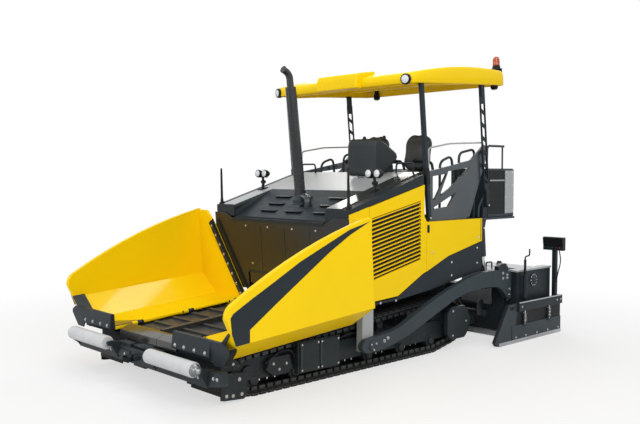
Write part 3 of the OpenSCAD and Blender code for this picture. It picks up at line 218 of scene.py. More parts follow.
def filleted(points, steps=8):
    """A closed outline of (x, z, corner radius) with each corner turned into an arc."""
    line = []
    for k, (x, z, radius) in enumerate(points):
        after = points[(k + 1) % len(points)]
        line += [tuple(p) for p in corner_arc(points[k - 1][:2], (x, z), after[:2], radius, steps)]
    return line


def arc(centre, radius, start, end, steps):
    angles = [math.radians(start + (end - start) * k / steps) for k in range(steps + 1)]
    return [(centre[0] + radius * math.cos(a), centre[1] + radius * math.sin(a)) for a in angles]


def round_outline(half_a, half_b, corner, between, pull=0.0):
    """A rectangle with round corners and points along its sides, which may pull in between the corners."""
    a, b = half_a - corner, half_b - corner
    corners = (((a, b), 0), ((-a, b), 90), ((-a, -b), 180), ((a, -b), 270))
    line = []
    for k, (centre, start) in enumerate(corners):
        turn = arc(centre, corner, start, start + 90, 6)
        far = arc(corners[(k + 1) % 4][0], corner, start + 90, start + 90, 1)[0]
        facing = Vector((math.cos(math.radians(start + 90)), math.sin(math.radians(start + 90))))
        line += turn
        for j in range(1, between):
            t = j / between
            spot = Vector(turn[-1]).lerp(Vector(far), t)
            line.append(tuple(spot - facing * pull * math.sin(math.pi * t)))
    return line


class Piece:
    """One named mesh, drawn in a place of its own and ridden on one body."""

    def __init__(self, name, body, materials, side=1, place=TRACK):
        self.name = name
        self.body = body
        self.materials = materials if isinstance(materials, list) else [materials]
        self.place = place @ Matrix.Diagonal((1, side, 1, 1))
        self.points = []
        self.faces = []
        self.kinds = []

    def add(self, points, faces, kind=0):
        first = len(self.points)
        self.points += [Vector(p) for p in points]
        self.faces += [tuple(first + i for i in face) for face in faces]
        self.kinds += [kind] * len(faces)

    def rings(self, rings, kind=0, closed=False):
        """A skin over rings of the same number of points, with its ends shut."""
        n = len(rings[0])
        count = len(rings)
        faces = []
        for r in range(count if closed else count - 1):
            a, b = r * n, (r + 1) % count * n
            faces += [(a + i, a + (i + 1) % n, b + (i + 1) % n, b + i) for i in range(n)]
        if not closed:
            faces += [tuple(range(n)), tuple(range(count * n - 1, (count - 1) * n - 1, -1))]
        self.add([p for ring in rings for p in ring], faces, kind)

    def prism(self, outline, span, axis="y", kind=0):
        def at(p, h):
            return {"x": (h, p[0], p[1]), "y": (p[0], h, p[1]), "z": (p[0], p[1], h)}[axis]
        self.rings([[at(p, h) for p in outline] for h in span], kind)

    def plate(self, parts, span, kind=0):
        """A plate with openings: outlines in x and z that share their corners, as thick as the span in y."""
        spots = []
        loops = []
        for outline in parts:
            loops.append([])
            for p in outline:
                if p not in spots:
                    spots.append(p)
                loops[-1].append(spots.index(p))
        n = len(spots)
        edges = [(loop[i], loop[(i + 1) % len(loop)]) for loop in loops for i in range(len(loop))]
        rim = [e for e in edges if (e[1], e[0]) not in edges]
        faces = [tuple(loop) for loop in loops] + [tuple(n + i for i in reversed(loop)) for loop in loops]
        faces += [(b, a, a + n, b + n) for a, b in rim]
        self.add([(p[0], y, p[1]) for y in span for p in spots], faces, kind)

    def box(self, x, y, z, kind=0):
        self.prism([(x[0], z[0]), (x[1], z[0]), (x[1], z[1]), (x[0], z[1])], y, "y", kind)

    def tube(self, line, radius, n=14, kind=0, closed=False):
        line = [Vector(p) for p in line]
        count = len(line)
        rings = []
        side = None
        for k, p in enumerate(line):
            ahead = line[(k + 1) % count] if closed else line[min(k + 1, count - 1)]
            behind = line[k - 1] if closed else line[max(k - 1, 0)]
            along = (ahead - behind).normalized()
            if side is None:
                side = along.orthogonal().normalized()
            side = (side - along * side.dot(along)).normalized()
            across = along.cross(side)
            rings.append([p + (side * math.cos(t) + across * math.sin(t)) * radius
                          for t in (2 * math.pi * i / n for i in range(n))])
        self.rings(rings, kind, closed)

    def lathe(self, profile, start, along, n=32, kind=0):
        """A turned shape: the profile's points are (length along the axis, radius)."""
        along = Vector(along).normalized()
        side = along.orthogonal().normalized()
        across = along.cross(side)
        start = Vector(start)
        self.rings([[start + along * h + (side * math.cos(t) + across * math.sin(t)) * max(r, 0.0004)
                     for t in (2 * math.pi * i / n for i in range(n))] for h, r in profile], kind)

    def rod(self, a, b, radius, n=24, kind=0):
        a, b = Vector(a), Vector(b)
        self.lathe([(0, radius), ((b - a).length, radius)], a, b - a, n, kind)

    def bolts(self, places, normal=OUT, radius=0.01, kind=0):
        """Hexagon heads on washers."""
        for p in places:
            self.lathe([(-0.001, radius * 1.5), (0.002, radius * 1.5)], p, normal, 16, kind)
            self.lathe([(0.002, radius), (radius * 0.75, radius), (radius * 0.95, radius * 0.8)], p, normal,
                       6, kind)

    def cushion(self, centre, across, upward, width, height, corner, depth, crowned):
        """A crowned pad: its sides pull in between the corners, with piping round its edge."""
        centre, across, upward = Vector(centre), Vector(across), Vector(upward)
        out = across.cross(upward)

        def ring(inset, rise, scale=1.0):
            line = round_outline(width / 2 - inset, height / 2 - inset, corner - inset, 8, 0.01)
            return [centre + across * a * scale + upward * b * scale + out * rise for a, b in line]
        skin = [ring(0.04, 0.0), ring(0.012, 0.0), ring(0.0, depth * 0.15), ring(0.0, depth * 0.7),
                ring(0.006, depth * 0.88), ring(0.024, depth)]
        for scale in (0.92, 0.78, 0.6, 0.4, 0.2, 0.02):
            groove = 0.01 if scale == 0.78 else 0.0
            skin.append(ring(0.024, depth + crowned * (1 - scale * scale) - groove, scale))
        self.rings(skin)
        self.tube(ring(-0.001, depth * 0.74), 0.005, 8, 1, True)

    def done(self, bevel=0.003, segments=2, replaces=(), slot=None, angle=32):
        mesh = bpy.data.meshes.new(self.name)
        mesh.from_pydata([self.place @ p for p in self.points], [], self.faces)
        for material in self.materials:
            mesh.materials.append(material)
        mesh.polygons.foreach_set("material_index", self.kinds)
        work = bmesh.new()
        work.from_mesh(mesh)
        bmesh.ops.recalc_face_normals(work, faces=work.faces)
        work.to_mesh(mesh)
        work.free()
        mesh.shade_smooth()
        mesh.set_sharp_from_angle(angle=math.radians(angle))
        shape = bpy.data.objects.new(self.name, mesh)
        bpy.context.scene.collection.objects.link(shape)
        if bevel:
            soften(shape, bevel, segments, angle)
        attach(shape, self.body)
        if replaces:
            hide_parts(*replaces)
        return shape


def soften(shape, width, segments, angle):
    bevel = shape.modifiers.new("edges", "BEVEL")
    bevel.width = width
    bevel.segments = segments
    bevel.limit_method = "ANGLE"
    bevel.angle_limit = math.radians(angle)
    bevel.use_clamp_overlap = False
    bevel.harden_normals = False
    shape.modifiers.new("shading", "WEIGHTED_NORMAL").keep_sharp = False


def dress(node, material, bevel=0.003, segments=2, merge=True):
    """A part of the frame that is shown as it is, with its paint and softened edges."""
    shape = nodes[node]
    mesh = shape.data
    mesh.materials.clear()
    mesh.materials.append(material)
    mesh.shade_smooth()
    if "custom_normal" in mesh.attributes:
        mesh.attributes.remove(mesh.attributes["custom_normal"])
    weld = shape.modifiers.new("joined", "WELD")
    weld.merge_threshold = 0.00002
    if merge:
        flat = shape.modifiers.new("flat", "DECIMATE")
        flat.decimate_type = "DISSOLVE"
        flat.angle_limit = math.radians(0.6)
        soften(shape, bevel, segments, 32)
    else:
        mesh.set_sharp_from_angle(angle=math.radians(32))


# Parts of the frame shown as they are
for part, material, bevel, slot_name in (
    ("wing", yellow, 0.007, "yellow_paint"),
    ("wing_plate", anthracite, 0.004, "anthracite_paint"),
    ("door", yellow, 0.004, "yellow_paint"),
    ("track_frame", anthracite, 0.006, "anthracite_paint"),
    ("screed_extension", anthracite, 0.004, "anthracite_paint"),
    ("end_plate", anthracite, 0.004, "anthracite_paint"),
    ("auger", steel, 0.003, "cast_steel"),
    ("lift_barrel", slate, 0.004, "slate_paint"),
    ("lift_rod", chrome, 0.002, "chrome_rod")):
    for name, _ in SIDES:
        dress(f"{part}_{name}", material, bevel, 2)
for name, material, bevel, slot_name in (
    ("track_deflectors", anthracite, 0.004, "anthracite_paint"),
    ("tow_guides", pale, 0.004, "light_grey_paint"),
    ("conveyors", steel, 0.003, "cast_steel"),
    ("hopper_apron", rubber, 0.005, "anthracite_paint"),
    ("hopper_wall", wall_paint, 0.004, "anthracite_paint"),
    ("engine", steel, 0.01, "cast_steel"),
    ("tank", anthracite, 0.006, "anthracite_paint"),
    ("hood_strips", anthracite, 0.008, "anthracite_paint"),
    ("side_panels", yellow, 0.004, "yellow_paint"),
    ("lower_panels", anthracite, 0.004, "anthracite_paint"),
    ("platform", floor_plate, 0.003, "slate_paint"),
    ("cabinets", slate, 0.012, "slate_paint"),
    ("canopy_frame", yellow, 0.004, "anthracite_paint"),
    ("screed_main", anthracite, 0.004, "anthracite_paint"),
    ("screed_covers", pale, 0.01, "light_grey_paint")):
    dress(name, material, bevel, 3 if bevel > 0.01 else 2)
for name in ("hood", "chassis_frame"):
    dress(name, anthracite, 0, 1, merge=False)

# Tracks
WHEELS = (((1.5375, 0.246), 0.212), ((-1.7775, 0.39), 0.3), ((-1.4475, 0.147), 0.125),
          ((1.4475, 0.147), 0.125))
SHOES = 76


def track_runs():
    """Per wheel: centre, radius, start and wrap angle of its arc, and length of the run after it."""
    angles = []
    lengths = []
    for k, (c, r) in enumerate(WHEELS):
        d, q = WHEELS[(k + 1) % 4]
        step = Vector(d) - Vector(c)
        angles.append(math.atan2(step.y, step.x) - math.pi / 2 + math.asin((r - q) / step.length))
        lengths.append(math.sqrt(step.length_squared - (r - q) ** 2))
    return [(Vector(c), r, angles[k - 1], (angles[k] - angles[k - 1]) % (2 * math.pi), lengths[k])
            for k, (c, r) in enumerate(WHEELS)]


RUNS = track_runs()
LOOP = sum(r * wrap + run for _, r, _, wrap, run in RUNS)


def loop_point(s, h):
    s %= LOOP
    for c, r, start, wrap, run in RUNS:
        if s < r * wrap:
            a = start + s / r
            return c + Vector((math.cos(a), math.sin(a))) * (r + h)
        s -= r * wrap
        if s < run:
            a = start + wrap
            out = Vector((math.cos(a), math.sin(a)))
            return c + out * (r + h) + Vector((-out.y, out.x)) * s
        s -= run
    return loop_point(0, h)


def loop_block(piece, middle, half, low, high, y, kind=0, steps=4):
    """A block that follows the loop round its wheels."""
    rings = []
    for k in range(steps + 1):
        s = middle + half * (2 * k / steps - 1)
        a, b = loop_point(s, low), loop_point(s, high)
        rings.append([(a.x, y[0], a.y), (a.x, y[1], a.y), (b.x, y[1], b.y), (b.x, y[0], b.y)])
    piece.rings(rings, kind)


for name, side in SIDES:
    pitch = LOOP / SHOES
    belt = Piece(f"track_belt_{name}", "machine", rubber, side)
    belt.rings([[(p.x, y, p.y) for p, y in ((loop_point(s, -0.034), 0.872), (loop_point(s, -0.034), 1.148),
                                            (loop_point(s, -0.004), 1.148), (loop_point(s, -0.004), 0.872))]
                for s in (LOOP * k / 200 for k in range(200))], 0, True)
    belt.done(0)
    shoes = Piece(f"track_{name}_shoes", "machine", [tread_rubber, steel], side)
    for k in range(SHOES):
        s = k * pitch
        loop_block(shoes, s, pitch * 0.45, -0.01, 0.004, (0.852, 1.17), 1)
        for span in ((0.862, 1.004), (1.016, 1.16)):
            loop_block(shoes, s, pitch * 0.41, 0.003, 0.022, span, 0)
        for span in ((0.876, 0.904), (1.116, 1.144)):
            loop_block(shoes, s, pitch * 0.36, -0.072, -0.03, span, 1)
    shoes.done(0.003, 1, (f"track_{name}",), "track_rubber")

    gear = Piece(f"track_gear_{name}", "machine", [anthracite, black, slate], side)
    gear.box((0.29, 0.575), (1.199, 1.212), (0.15, 0.465))
    gear.box((0.59, 0.88), (1.199, 1.212), (0.15, 0.465))
    for x in (0.575, 0.865):
        gear.box((x - 0.012, x + 0.012), (1.205, 1.224), (0.2, 0.44), 2)
    gear.lathe([(0, 0.15), (0.02, 0.15), (0.035, 0.1), (0.05, 0.075), (0.09, 0.075), (0.095, 0.06)],
               (1.5375, 1.055, 0.246), OUT, 40)
    for k in range(6):
        x = -1.4475 + k * 0.579
        gear.lathe([(0, 0.05), (0.02, 0.05), (0.03, 0.035)], (x, 1.11, 0.148), OUT, 24)
    for x in (-1.1, -0.55, 0.0, 1.15):
        gear.lathe([(0, 0.055), (0.1, 0.055)], (x, 0.96, 0.435 - x * 0.066), OUT, 24)
        gear.rod((x, 1.01, 0.36), (x, 1.01, 0.43 - x * 0.066), 0.025)
    gear.prism([(0.93, 0.2), (1.02, 0.16), (1.2, 0.16), (1.3, 0.24), (1.24, 0.36), (0.98, 0.36)],
               (1.088, 1.15))
    gear.prism([(-0.55, 0.18), (-0.28, 0.18), (-0.28, 0.34), (-0.55, 0.34)], (1.088, 1.14))
    gear.tube(rounded([(0.2, 1.13, 0.42), (0.05, 1.15, 0.46), (-0.25, 1.15, 0.4), (-0.55, 1.13, 0.36)],
                      0.08), 0.016, 12, 1)
    gear.tube(rounded([(1.3, 1.12, 0.3), (1.1, 1.15, 0.42), (0.95, 1.16, 0.4), (0.9, 1.15, 0.3)], 0.06),
              0.016, 12, 1)
    gear.done(0.003)
    heads = Piece(f"track_bolts_{name}", "machine", bright, side)
    heads.bolts([(-2.02, BODY_SIDE, 0.35), (-1.74, BODY_SIDE, 0.51), (-1.74, BODY_SIDE, 0.19)])
    heads.bolts([(x, 1.212, z) for x in (0.305, 0.555, 0.612, 0.85) for z in (0.168, 0.447)], OUT, 0.008)
    heads.bolts([(1.02, 1.15, 0.27), (1.12, 1.15, 0.22), (1.2, 1.15, 0.29)])
    heads.done(0)

# Scraper plates and low front gear
for name, side in SIDES:
    low = Piece(f"scraper_{name}", "machine", [anthracite, black], side)
    low.prism([(1.6, 0.285), (1.885, 0.315), (1.93, 0.3), (1.93, 0.05), (1.885, 0.04), (1.64, 0.02),
               (1.6, 0.06)], (1.201, 1.215))
    low.box((1.921, 1.935), (0.7, 1.215), (0.09, 0.3), 1)
    low.prism([(1.66, 0.3), (1.9, 0.32), (1.9, 0.42), (1.8, 0.47), (1.7, 0.42)], (1.15, 1.166))
    low.done(0.004)
    heads = Piece(f"scraper_bolts_{name}", "machine", bright, side)
    heads.bolts([(1.86, 1.215, 0.085), (1.78, 1.215, 0.075), (1.67, 1.215, 0.075), (1.7, 1.215, 0.23)], OUT,
                0.013)
    heads.bolts([(1.74, 1.166, 0.38), (1.84, 1.166, 0.38)])
    heads.done(0)

# Hopper
WING_EDGE = (Vector((0.05, 0.0)), Vector((0.67, 0.98)))
EDGE_OUT = Vector((0.8451, -0.5346))
for name, side in SIDES:
    body = f"wing_{name}"
    stripe = Piece(f"wing_stripe_{name}", body, anthracite, side)
    stripe.prism([(2.056, 0.677), (1.891, 0.69), (1.89, 0.814), (1.56, 1.028), (1.24, 1.23), (0.841, 1.482),
                  (0.55, 1.64), (0.24, 1.772), (0.55, 1.698), (0.841, 1.58), (1.256, 1.41), (1.59, 1.24),
                  (1.86, 1.108), (2.085, 0.99), (2.118, 0.95), (2.101, 0.796)], (1.6285, 1.6325))
    stripe.done(0.001, 1, (), "anthracite_paint")
    strip = Piece(f"wing_seal_{name}", body, [rubber, anthracite, gloss_dark], side, HOPPER)
    a, b = WING_EDGE
    strip.prism([(0.6 + p.x, p.y) for p in (a - EDGE_OUT * 0.04, b - EDGE_OUT * 0.04, b + EDGE_OUT * 0.075,
                                            a + EDGE_OUT * 0.075)], (0.041, 0.052), "x")
    strip.prism([(0.6 + p.x, p.y) for p in (a + EDGE_OUT * 0.005, b + EDGE_OUT * 0.005,
                                            b + EDGE_OUT * 0.055, a + EDGE_OUT * 0.055)], (0.052, 0.058),
                "x", 1)
    strip.prism([(1.951, 0.148), (1.96, 0.15), (1.992, -0.012), (1.988, -0.022), (1.951, -0.024)],
                (0.635, 1.29), "y", 1)
    strip.prism([(1.285, -0.022), (1.285, 0.148), (1.5, 0.148), (1.585, 0.1), (1.59, 0.06), (1.47, -0.088),
                 (1.335, -0.092)], (1.951, 1.966), "x", 1)
    strip.prism([(1.45, -0.06), (1.58, 0.1), (1.6, 0.1), (1.6, 0.07), (1.47, -0.088)], (1.88, 1.951), "x")
    strip.prism([(1.288, -0.01), (1.288, 0.008), (1.57, 0.258), (1.588, 0.258), (1.588, 0.236),
                 (1.31, -0.01)], (1.8, 1.951), "x", 1)
    strip.prism([(1.951, 0.645), (1.951, 1.05), (1.56, 0.645)], (0.001, 0.01), "z", 2)
    strip.box((1.914, 1.925), (0.66, 1.335), (-0.077, -0.022), 1)
    strip.done(0.004, 2, (), "track_rubber")
    heads = Piece(f"wing_bolts_{name}", body, bright, side, HOPPER)
    line = [a.lerp(b, (k + 0.5) / 8) + EDGE_OUT * 0.03 for k in range(8)]
    heads.bolts([(0.058, 0.6 + p.x, p.y) for p in line], FORE, 0.013)
    heads.bolts([(1.985, y, 0.018) for y in (0.7, 0.86, 1.04, 1.22)], (1, 0, 0.2), 0.013)
    heads.done(0)

front = Piece("apron_flaps", "machine", [gloss_dark, anthracite], place=HOPPER)
for y0 in (-0.575, -0.19, 0.195):
    front.prism([(1.745, 0.015), (1.79, 0.012), (1.89, -0.022), (1.902, -0.1), (1.89, -0.105),
                 (1.876, -0.034), (1.785, -0.004), (1.745, -0.004)], (y0, y0 + 0.38))
front.box((1.742, 1.765), (-0.58, 0.58), (-0.03, 0.012), 1)
front.done(0.003)
wall = Piece("hopper_wall_trim", "machine", [black, anthracite, wall_paint], place=HOPPER)
for y in (-0.3, 0.16, 0.62):
    wall.box((-0.009, -0.0065), (y - 0.004, y + 0.004), (0.36, 0.93))
wall.box((-0.009, -0.004), (-0.6, 0.6), (0.332, 0.362), 1)
wall.box((-0.03, -0.004), (-0.86, 0.86), (0.985, 1.03), 1)
for y0 in (-0.565, 0.015):
    wall.box((-0.016, -0.008), (y0, y0 + 0.55), (0.19, 0.345), 2)
wall.done(0.002)
heads = Piece("hopper_wall_bolts", "machine", bright, place=HOPPER)
for y, z in ((-0.6, 0.93), (-0.16, 0.93), (0.3, 0.93), (0.72, 0.93), (-0.5, 0.45), (0.5, 0.45)):
    heads.lathe([(0, 0.014), (0.0025, 0.012), (0.0038, 0.006)], (-0.009, y, z), FORE, 20)
heads.done(0)

# Push rollers
ROLLER_X = 2.262
ROLLER_Z = 0.424
for name, side in SIDES:
    roller = Piece(f"push_roller_{name}_drum", f"push_roller_{name}", [roller_paint, slate], side)
    roller.lathe([(0, 0.06), (0.006, 0.072), (0.016, 0.076), (0.814, 0.076), (0.824, 0.072), (0.83, 0.06)],
                 (ROLLER_X, 0.425, ROLLER_Z), OUT, 64)
    roller.rod((ROLLER_X, 0.399, ROLLER_Z), (ROLLER_X, 1.281, ROLLER_Z), 0.02, 32, 1)
    for y in (0.47, 1.208):
        roller.lathe([(0, 0.0763), (0.004, 0.0768), (0.008, 0.0763)], (ROLLER_X, y, ROLLER_Z), OUT, 64)
    roller.done(0.002, 2, (f"push_roller_{name}",), "roller_steel")
    hub = Piece(f"push_hub_{name}", f"push_roller_{name}", [hub_steel, bright], side)
    hub.lathe([(0, 0.066), (0.01, 0.064), (0.03, 0.048), (0.055, 0.044), (0.062, 0.036)],
              (ROLLER_X, 1.25, ROLLER_Z), OUT, 40)
    hub.bolts([(ROLLER_X, 1.312, ROLLER_Z)], OUT, 0.018, 1)
    hub.bolts([(ROLLER_X + 0.05 * math.cos(t), 1.274, ROLLER_Z + 0.05 * math.sin(t))
               for t in (0.6, 2.7, 4.8)], OUT, 0.007, 1)
    hub.done(0.002)
    arms = Piece(f"push_beam_{name}", "push_beam", anthracite, side)
    arms.box((2.045, 2.16), (0.0, 1.3), (0.24, 0.4))
    arms.prism([(1.295, 0.25), (1.5, 0.285), (1.52, 0.31), (1.5, 0.42), (1.295, 0.4)], (2.055, 2.15), "x")
    arms.box((2.155, 2.172), (0.12, 1.28), (0.285, 0.365))
    for y0 in (0.372, 1.286):
        arms.prism([(2.1, 0.25), (2.16, 0.25), (2.245, 0.395), (2.285, 0.4), (2.295, 0.424), (2.285, 0.45),
                    (2.235, 0.455), (2.1, 0.4)], (y0, y0 + 0.022))
    arms.box((2.05, 2.14), (0.16, 0.4), (0.395, 0.44))
    arms.box((2.16, 2.255), (0.0, 0.062), (0.295, 0.345))
    arms.lathe([(0, 0.065), (0.05, 0.065), (0.05, 0.031), (0, 0.031), (0, 0.065)], (2.25, 0.0, 0.295), UP,
               36)
    arms.box((1.995, 2.06), (0.0, 0.14), (0.24, 0.4))
    arms.done(0.005, 2, ("push_beam",) if side > 0 else (), "anthracite_paint")
    heads = Piece(f"push_bolts_{name}", "push_beam", bright, side)
    heads.bolts([(2.172, y, 0.325) for y in (0.22, 0.52, 0.86, 1.18)], FORE, 0.01)
    heads.bolts([(2.15, 1.4, 0.35), (2.15, 1.46, 0.35)], FORE, 0.012)
    heads.done(0)


# Hood, deck and lamps
def on_hood(piece, xs, ys, heights, kind=0):
    """A slab along the hood's slope, with its heights measured from the hood."""
    low, high = heights
    section = ((ys[0], low), (ys[1], low), (ys[1], high), (ys[0], high))
    piece.rings([[(x, y, hood_z(x) + h) for y, h in section] for x in xs], kind)


deck = Piece("hood_deck", "machine", [anthracite, black])
deck.prism([(DECK_REAR, hood_z(DECK_REAR) + 0.001), (DECK_FRONT, deck_z(DECK_FRONT) + 0.001),
            (DECK_FRONT, deck_z(DECK_FRONT) + 0.008), (DECK_REAR, hood_z(DECK_REAR) + 0.008)],
           (-0.855, 0.855))
for x, ys in ((-0.26, (-0.42, 0.1, 0.6)), (-0.1, (-0.37, 0.1, 0.6)), (0.05, (-0.35, 0.13, 0.65))):
    for y in ys:
        if (x, y) == (-0.26, 0.1):
            continue
        # Painted shade: the flat black pad under each raised lid stands in for the shade in the louvre's
        # opening.
        line = [(x - 0.045, y - 0.15), (x + 0.045, y - 0.11), (x + 0.045, y + 0.11), (x - 0.045, y + 0.15)]
        deck.rings([[(px, py, deck_z(px) + h) for px, py in line] for h in (0.0, 0.0055)], 1)
        hood_line = [(x - 0.05, y - 0.165), (x + 0.01, y - 0.14), (x + 0.01, y + 0.14),
                     (x - 0.05, y + 0.165)]
        deck.rings([[(px, py, deck_z(px) + h + (0.03 if px > x else 0.004)) for px, py in hood_line]
                    for h in (0.0, 0.006)])
deck.done(0.0015)
cover = Piece("hood_covers", "machine", [gloss_dark, pale, anthracite])
on_hood(cover, (-1.212, -0.464), (-0.862, 0.862), (0.001, 0.01), 1)
for s in (1, -1):
    on_hood(cover, (-1.212, 0.17), (s * 0.866, s * 1.116), (0.001, 0.01), 0 if s > 0 else 1)
    cover.prism([(s * 0.862, 1.735), (s * 1.115, 1.735), (s * 1.246, 1.79), (s * 1.246, hood_z(0.17)),
                 (s * 0.862, hood_z(0.17))], (0.15, 0.184), "x", 2)
    cover.box((-0.02, 0.172), (s * 1.112, s * 1.247), (1.835, 1.878), 2)
cover.done(0.003)
seams = Piece("hood_seams", "machine", black)
for y in (-0.42, 0.42):
    on_hood(seams, (-1.2, -0.47), (y - 0.004, y + 0.004), (-0.01, 0.0012))
for x in (-0.47, -0.82):
    seams.box((x - 0.004, x + 0.004), (-0.86, 0.86), (hood_z(x) - 0.01, hood_z(x) + 0.0025))
seams.done(0)
pipe = Piece("exhaust_stack", "machine", [stack_paint, steel, slate])
lean = math.radians(6.9)
base = Vector((-0.215, 0, 1.975))
up = Vector((math.sin(lean), 0, math.cos(lean)))
fore = Vector((math.cos(lean), 0, -math.sin(lean)))
pipe.lathe([(-0.05, 0.105), (-0.01, 0.105), (0.01, 0.085), (0.05, 0.072)], base, up, 40, 2)
tip = [base + up * h for h in (0.02, 0.3, 0.6, 0.9, 1.2, 1.5)]
tip += [base + up * (1.5 + 0.11 * math.sin(t)) + fore * (0.11 * (1 - math.cos(t)))
        for t in (math.radians(6 * k) for k in range(1, 11))]
tip.append(tip[-1] + (tip[-1] - tip[-2]).normalized() * 0.05)
pipe.tube(tip, 0.045, 28)
end = tip[-1]
out = (tip[-1] - tip[-2]).normalized()
pipe.lathe([(0.0, 0.0475), (0.004, 0.0475), (0.004, 0.041), (0.001, 0.039)], end - out * 0.003, out, 28, 1)
shield = []
for h in (0.05, 0.5, 0.9, 1.4):
    ring = [base + up * h + (fore * math.cos(t) + Vector(OUT) * math.sin(t)) * 0.069
            for t in (math.radians(-70 + 23 * k) for k in range(11))]
    ring += [base + up * h + (fore * math.cos(t) + Vector(OUT) * math.sin(t)) * 0.065
             for t in (math.radians(160 - 23 * k) for k in range(11))]
    shield.append(ring)
pipe.rings(shield)
for h in (0.1, 0.72, 1.34):
    pipe.lathe([(0, 0.062), (0.022, 0.062)], base + up * h, up, 32, 1)
pipe.prism([(-0.32, deck_z(-0.32)), (-0.06, deck_z(-0.06)), (-0.09, deck_z(-0.09) + 0.03),
            (-0.29, deck_z(-0.29) + 0.03)], (-0.13, 0.13), "y", 2)
pipe.prism([(-0.25, 1.92), (-0.13, 1.92), (-0.155, 2.03), (-0.225, 2.03)], (-0.06, 0.06), "y", 2)
pipe.tube(rounded([(-0.1, 0.26, deck_z(-0.1) - 0.01), (-0.1, 0.26, deck_z(-0.1) + 0.11),
                   (-0.17, 0.1, deck_z(-0.1) + 0.13)], 0.09, 8), 0.042, 20)
pipe.lathe([(0, 0.047), (0.018, 0.047)], (-0.1, 0.26, deck_z(-0.1) + 0.02), UP, 24, 1)
pipe.done(0.002, 2, ("exhaust",), "black_paint")

for name, side in SIDES:
    x, y = -0.45, 1.05
    z = hood_z(x)
    lamp = Piece(f"hood_lamps_{name}", "machine", [black, lens], side)
    on_hood(lamp, (x - 0.05, x + 0.05), (y - 0.055, y + 0.055), (0.0, 0.022))
    lamp.rod((x, y, z + 0.01), (x - 0.012, y, z + 0.1), 0.02, 20)
    lamp.lathe([(-0.03, 0.024), (0.03, 0.024)], (x - 0.012, y, z + 0.108), OUT, 20)
    lamp.rod((x - 0.012, y, z + 0.11), (x, y, z + 0.185), 0.017, 20)
    lamp.box((x - 0.022, x + 0.014), (y - 0.085, y + 0.085), (z + 0.166, z + 0.184))
    for dy in (-0.07, 0.07):
        lamp.lathe([(-0.055, 0.016), (-0.045, 0.034), (-0.01, 0.05), (0.028, 0.054), (0.036, 0.051)],
                   (x, y + dy, z + 0.222), (1, 0, 0.05), 32)
        lamp.lathe([(0.03, 0.046), (0.038, 0.044), (0.044, 0.03), (0.046, 0.0)], (x, y + dy, z + 0.222),
                   (1, 0, 0.05), 32, 1)
    lamp.done(0.002, 2, ("hood_lamps",) if side > 0 else (), "black_paint")
    post = Piece(f"sight_post_{name}", "machine", black, side)
    px, py = 0.134, 1.2
    on_hood(post, (px - 0.026, px + 0.024), (py - 0.028, py + 0.028), (0.0, 0.02))
    post.lathe([(0, 0.021), (0.04, 0.021), (0.06, 0.017), (0.4, 0.014), (0.455, 0.012), (0.462, 0.008)],
               (px, py, hood_z(px) + 0.01), (0.02, 0, 1), 20)
    post.done(0.002, 2, ("corner_posts",) if side > 0 else (), "black_paint")

# Doors and side panels
GRILLE_LOW = 1.045
GRILLE_HEIGHT = 0.725
GRILLE_SLATS = 15
for name, side in SIDES:
    # Painted shade: a black sheet behind the grille and a thin black strip on each slat's face stand in for
    # the shade in the gaps between the slats.
    back = Piece(f"door_screen_{name}", f"door_{name}", black, side)
    back.prism([(-0.198, 1.09), (-0.198, 1.772), (-1.082, 1.957), (-1.082, 1.275)], (1.2085, 1.2155))
    for k in range(GRILLE_SLATS):
        z = GRILLE_LOW + (k + 0.5) * GRILLE_HEIGHT / GRILLE_SLATS
        back.prism([(-0.201, z - 0.012), (-0.201, z + 0.001), (-1.079, z + 0.186), (-1.079, z + 0.173)],
                   (1.243, 1.2448))
    back.done(0)
    panel = Piece(f"side_trim_{name}", "machine", [black, anthracite, bright], side)
    panel.box((-1.24, -1.204), (1.2495, 1.258), (1.555, 1.65))
    panel.box((-1.232, -1.212), (1.258, 1.264), (1.57, 1.61), 1)
    panel.box((-2.335, -2.325), (1.2495, 1.252), (1.4, 1.685))
    for x in (-1.3, -2.28):
        panel.bolts([(x, BODY_SIDE, 1.44 if x < -2 else 1.3)], kind=2)
    panel.bolts([(x, BODY_SIDE, 0.772 + max(0, -0.66 - x) * 0.28) for x in (-0.35, -0.62)], kind=2)
    panel.bolts([(-2.25, BODY_SIDE, 1.1), (-2.25, BODY_SIDE, 1.3), (-1.7, BODY_SIDE, 0.98),
                 (-1.7, BODY_SIDE, 1.15)], kind=2)
    panel.done(0)

# Operator's place
RAILING = (
    ((-1.29, 1.692), (-1.29, 2.315), (-1.37, 2.255), (-1.373, 1.94), (-1.394, 1.861), (-1.409, 1.844),
     (-1.4, 1.692)),
    ((-1.29, 2.315), (-2.164, 2.468), (-2.138, 2.368), (-1.684, 2.318), (-1.659, 2.286), (-1.37, 2.255)),
    ((-2.164, 2.468), (-2.46, 2.674), (-2.5, 2.66), (-2.5, 2.472), (-2.148, 1.722), (-2.04, 1.692),
     (-1.69, 1.868), (-1.845, 2.042), (-1.713, 2.093), (-2.138, 2.368)),
    ((-1.659, 2.286), (-1.684, 2.318), (-1.509, 2.0), (-1.433, 1.986)),
    ((-1.373, 1.94), (-1.433, 1.986), (-1.509, 2.0), (-1.713, 2.093), (-1.845, 2.042), (-1.394, 1.861)),
    ((-1.4, 1.692), (-1.409, 1.844), (-1.69, 1.868), (-2.04, 1.692)))
POST_FEET = (("canopy_front_posts", -1.25, 1.735), ("canopy_rear_posts", -2.49, 1.86))
POST_LENGTH = 1.68
POST_Y = (1.211, 1.259)
RAIL_Y = (1.222, 1.248)
SEAT_X = -1.83
SEAT_Y = 0.39
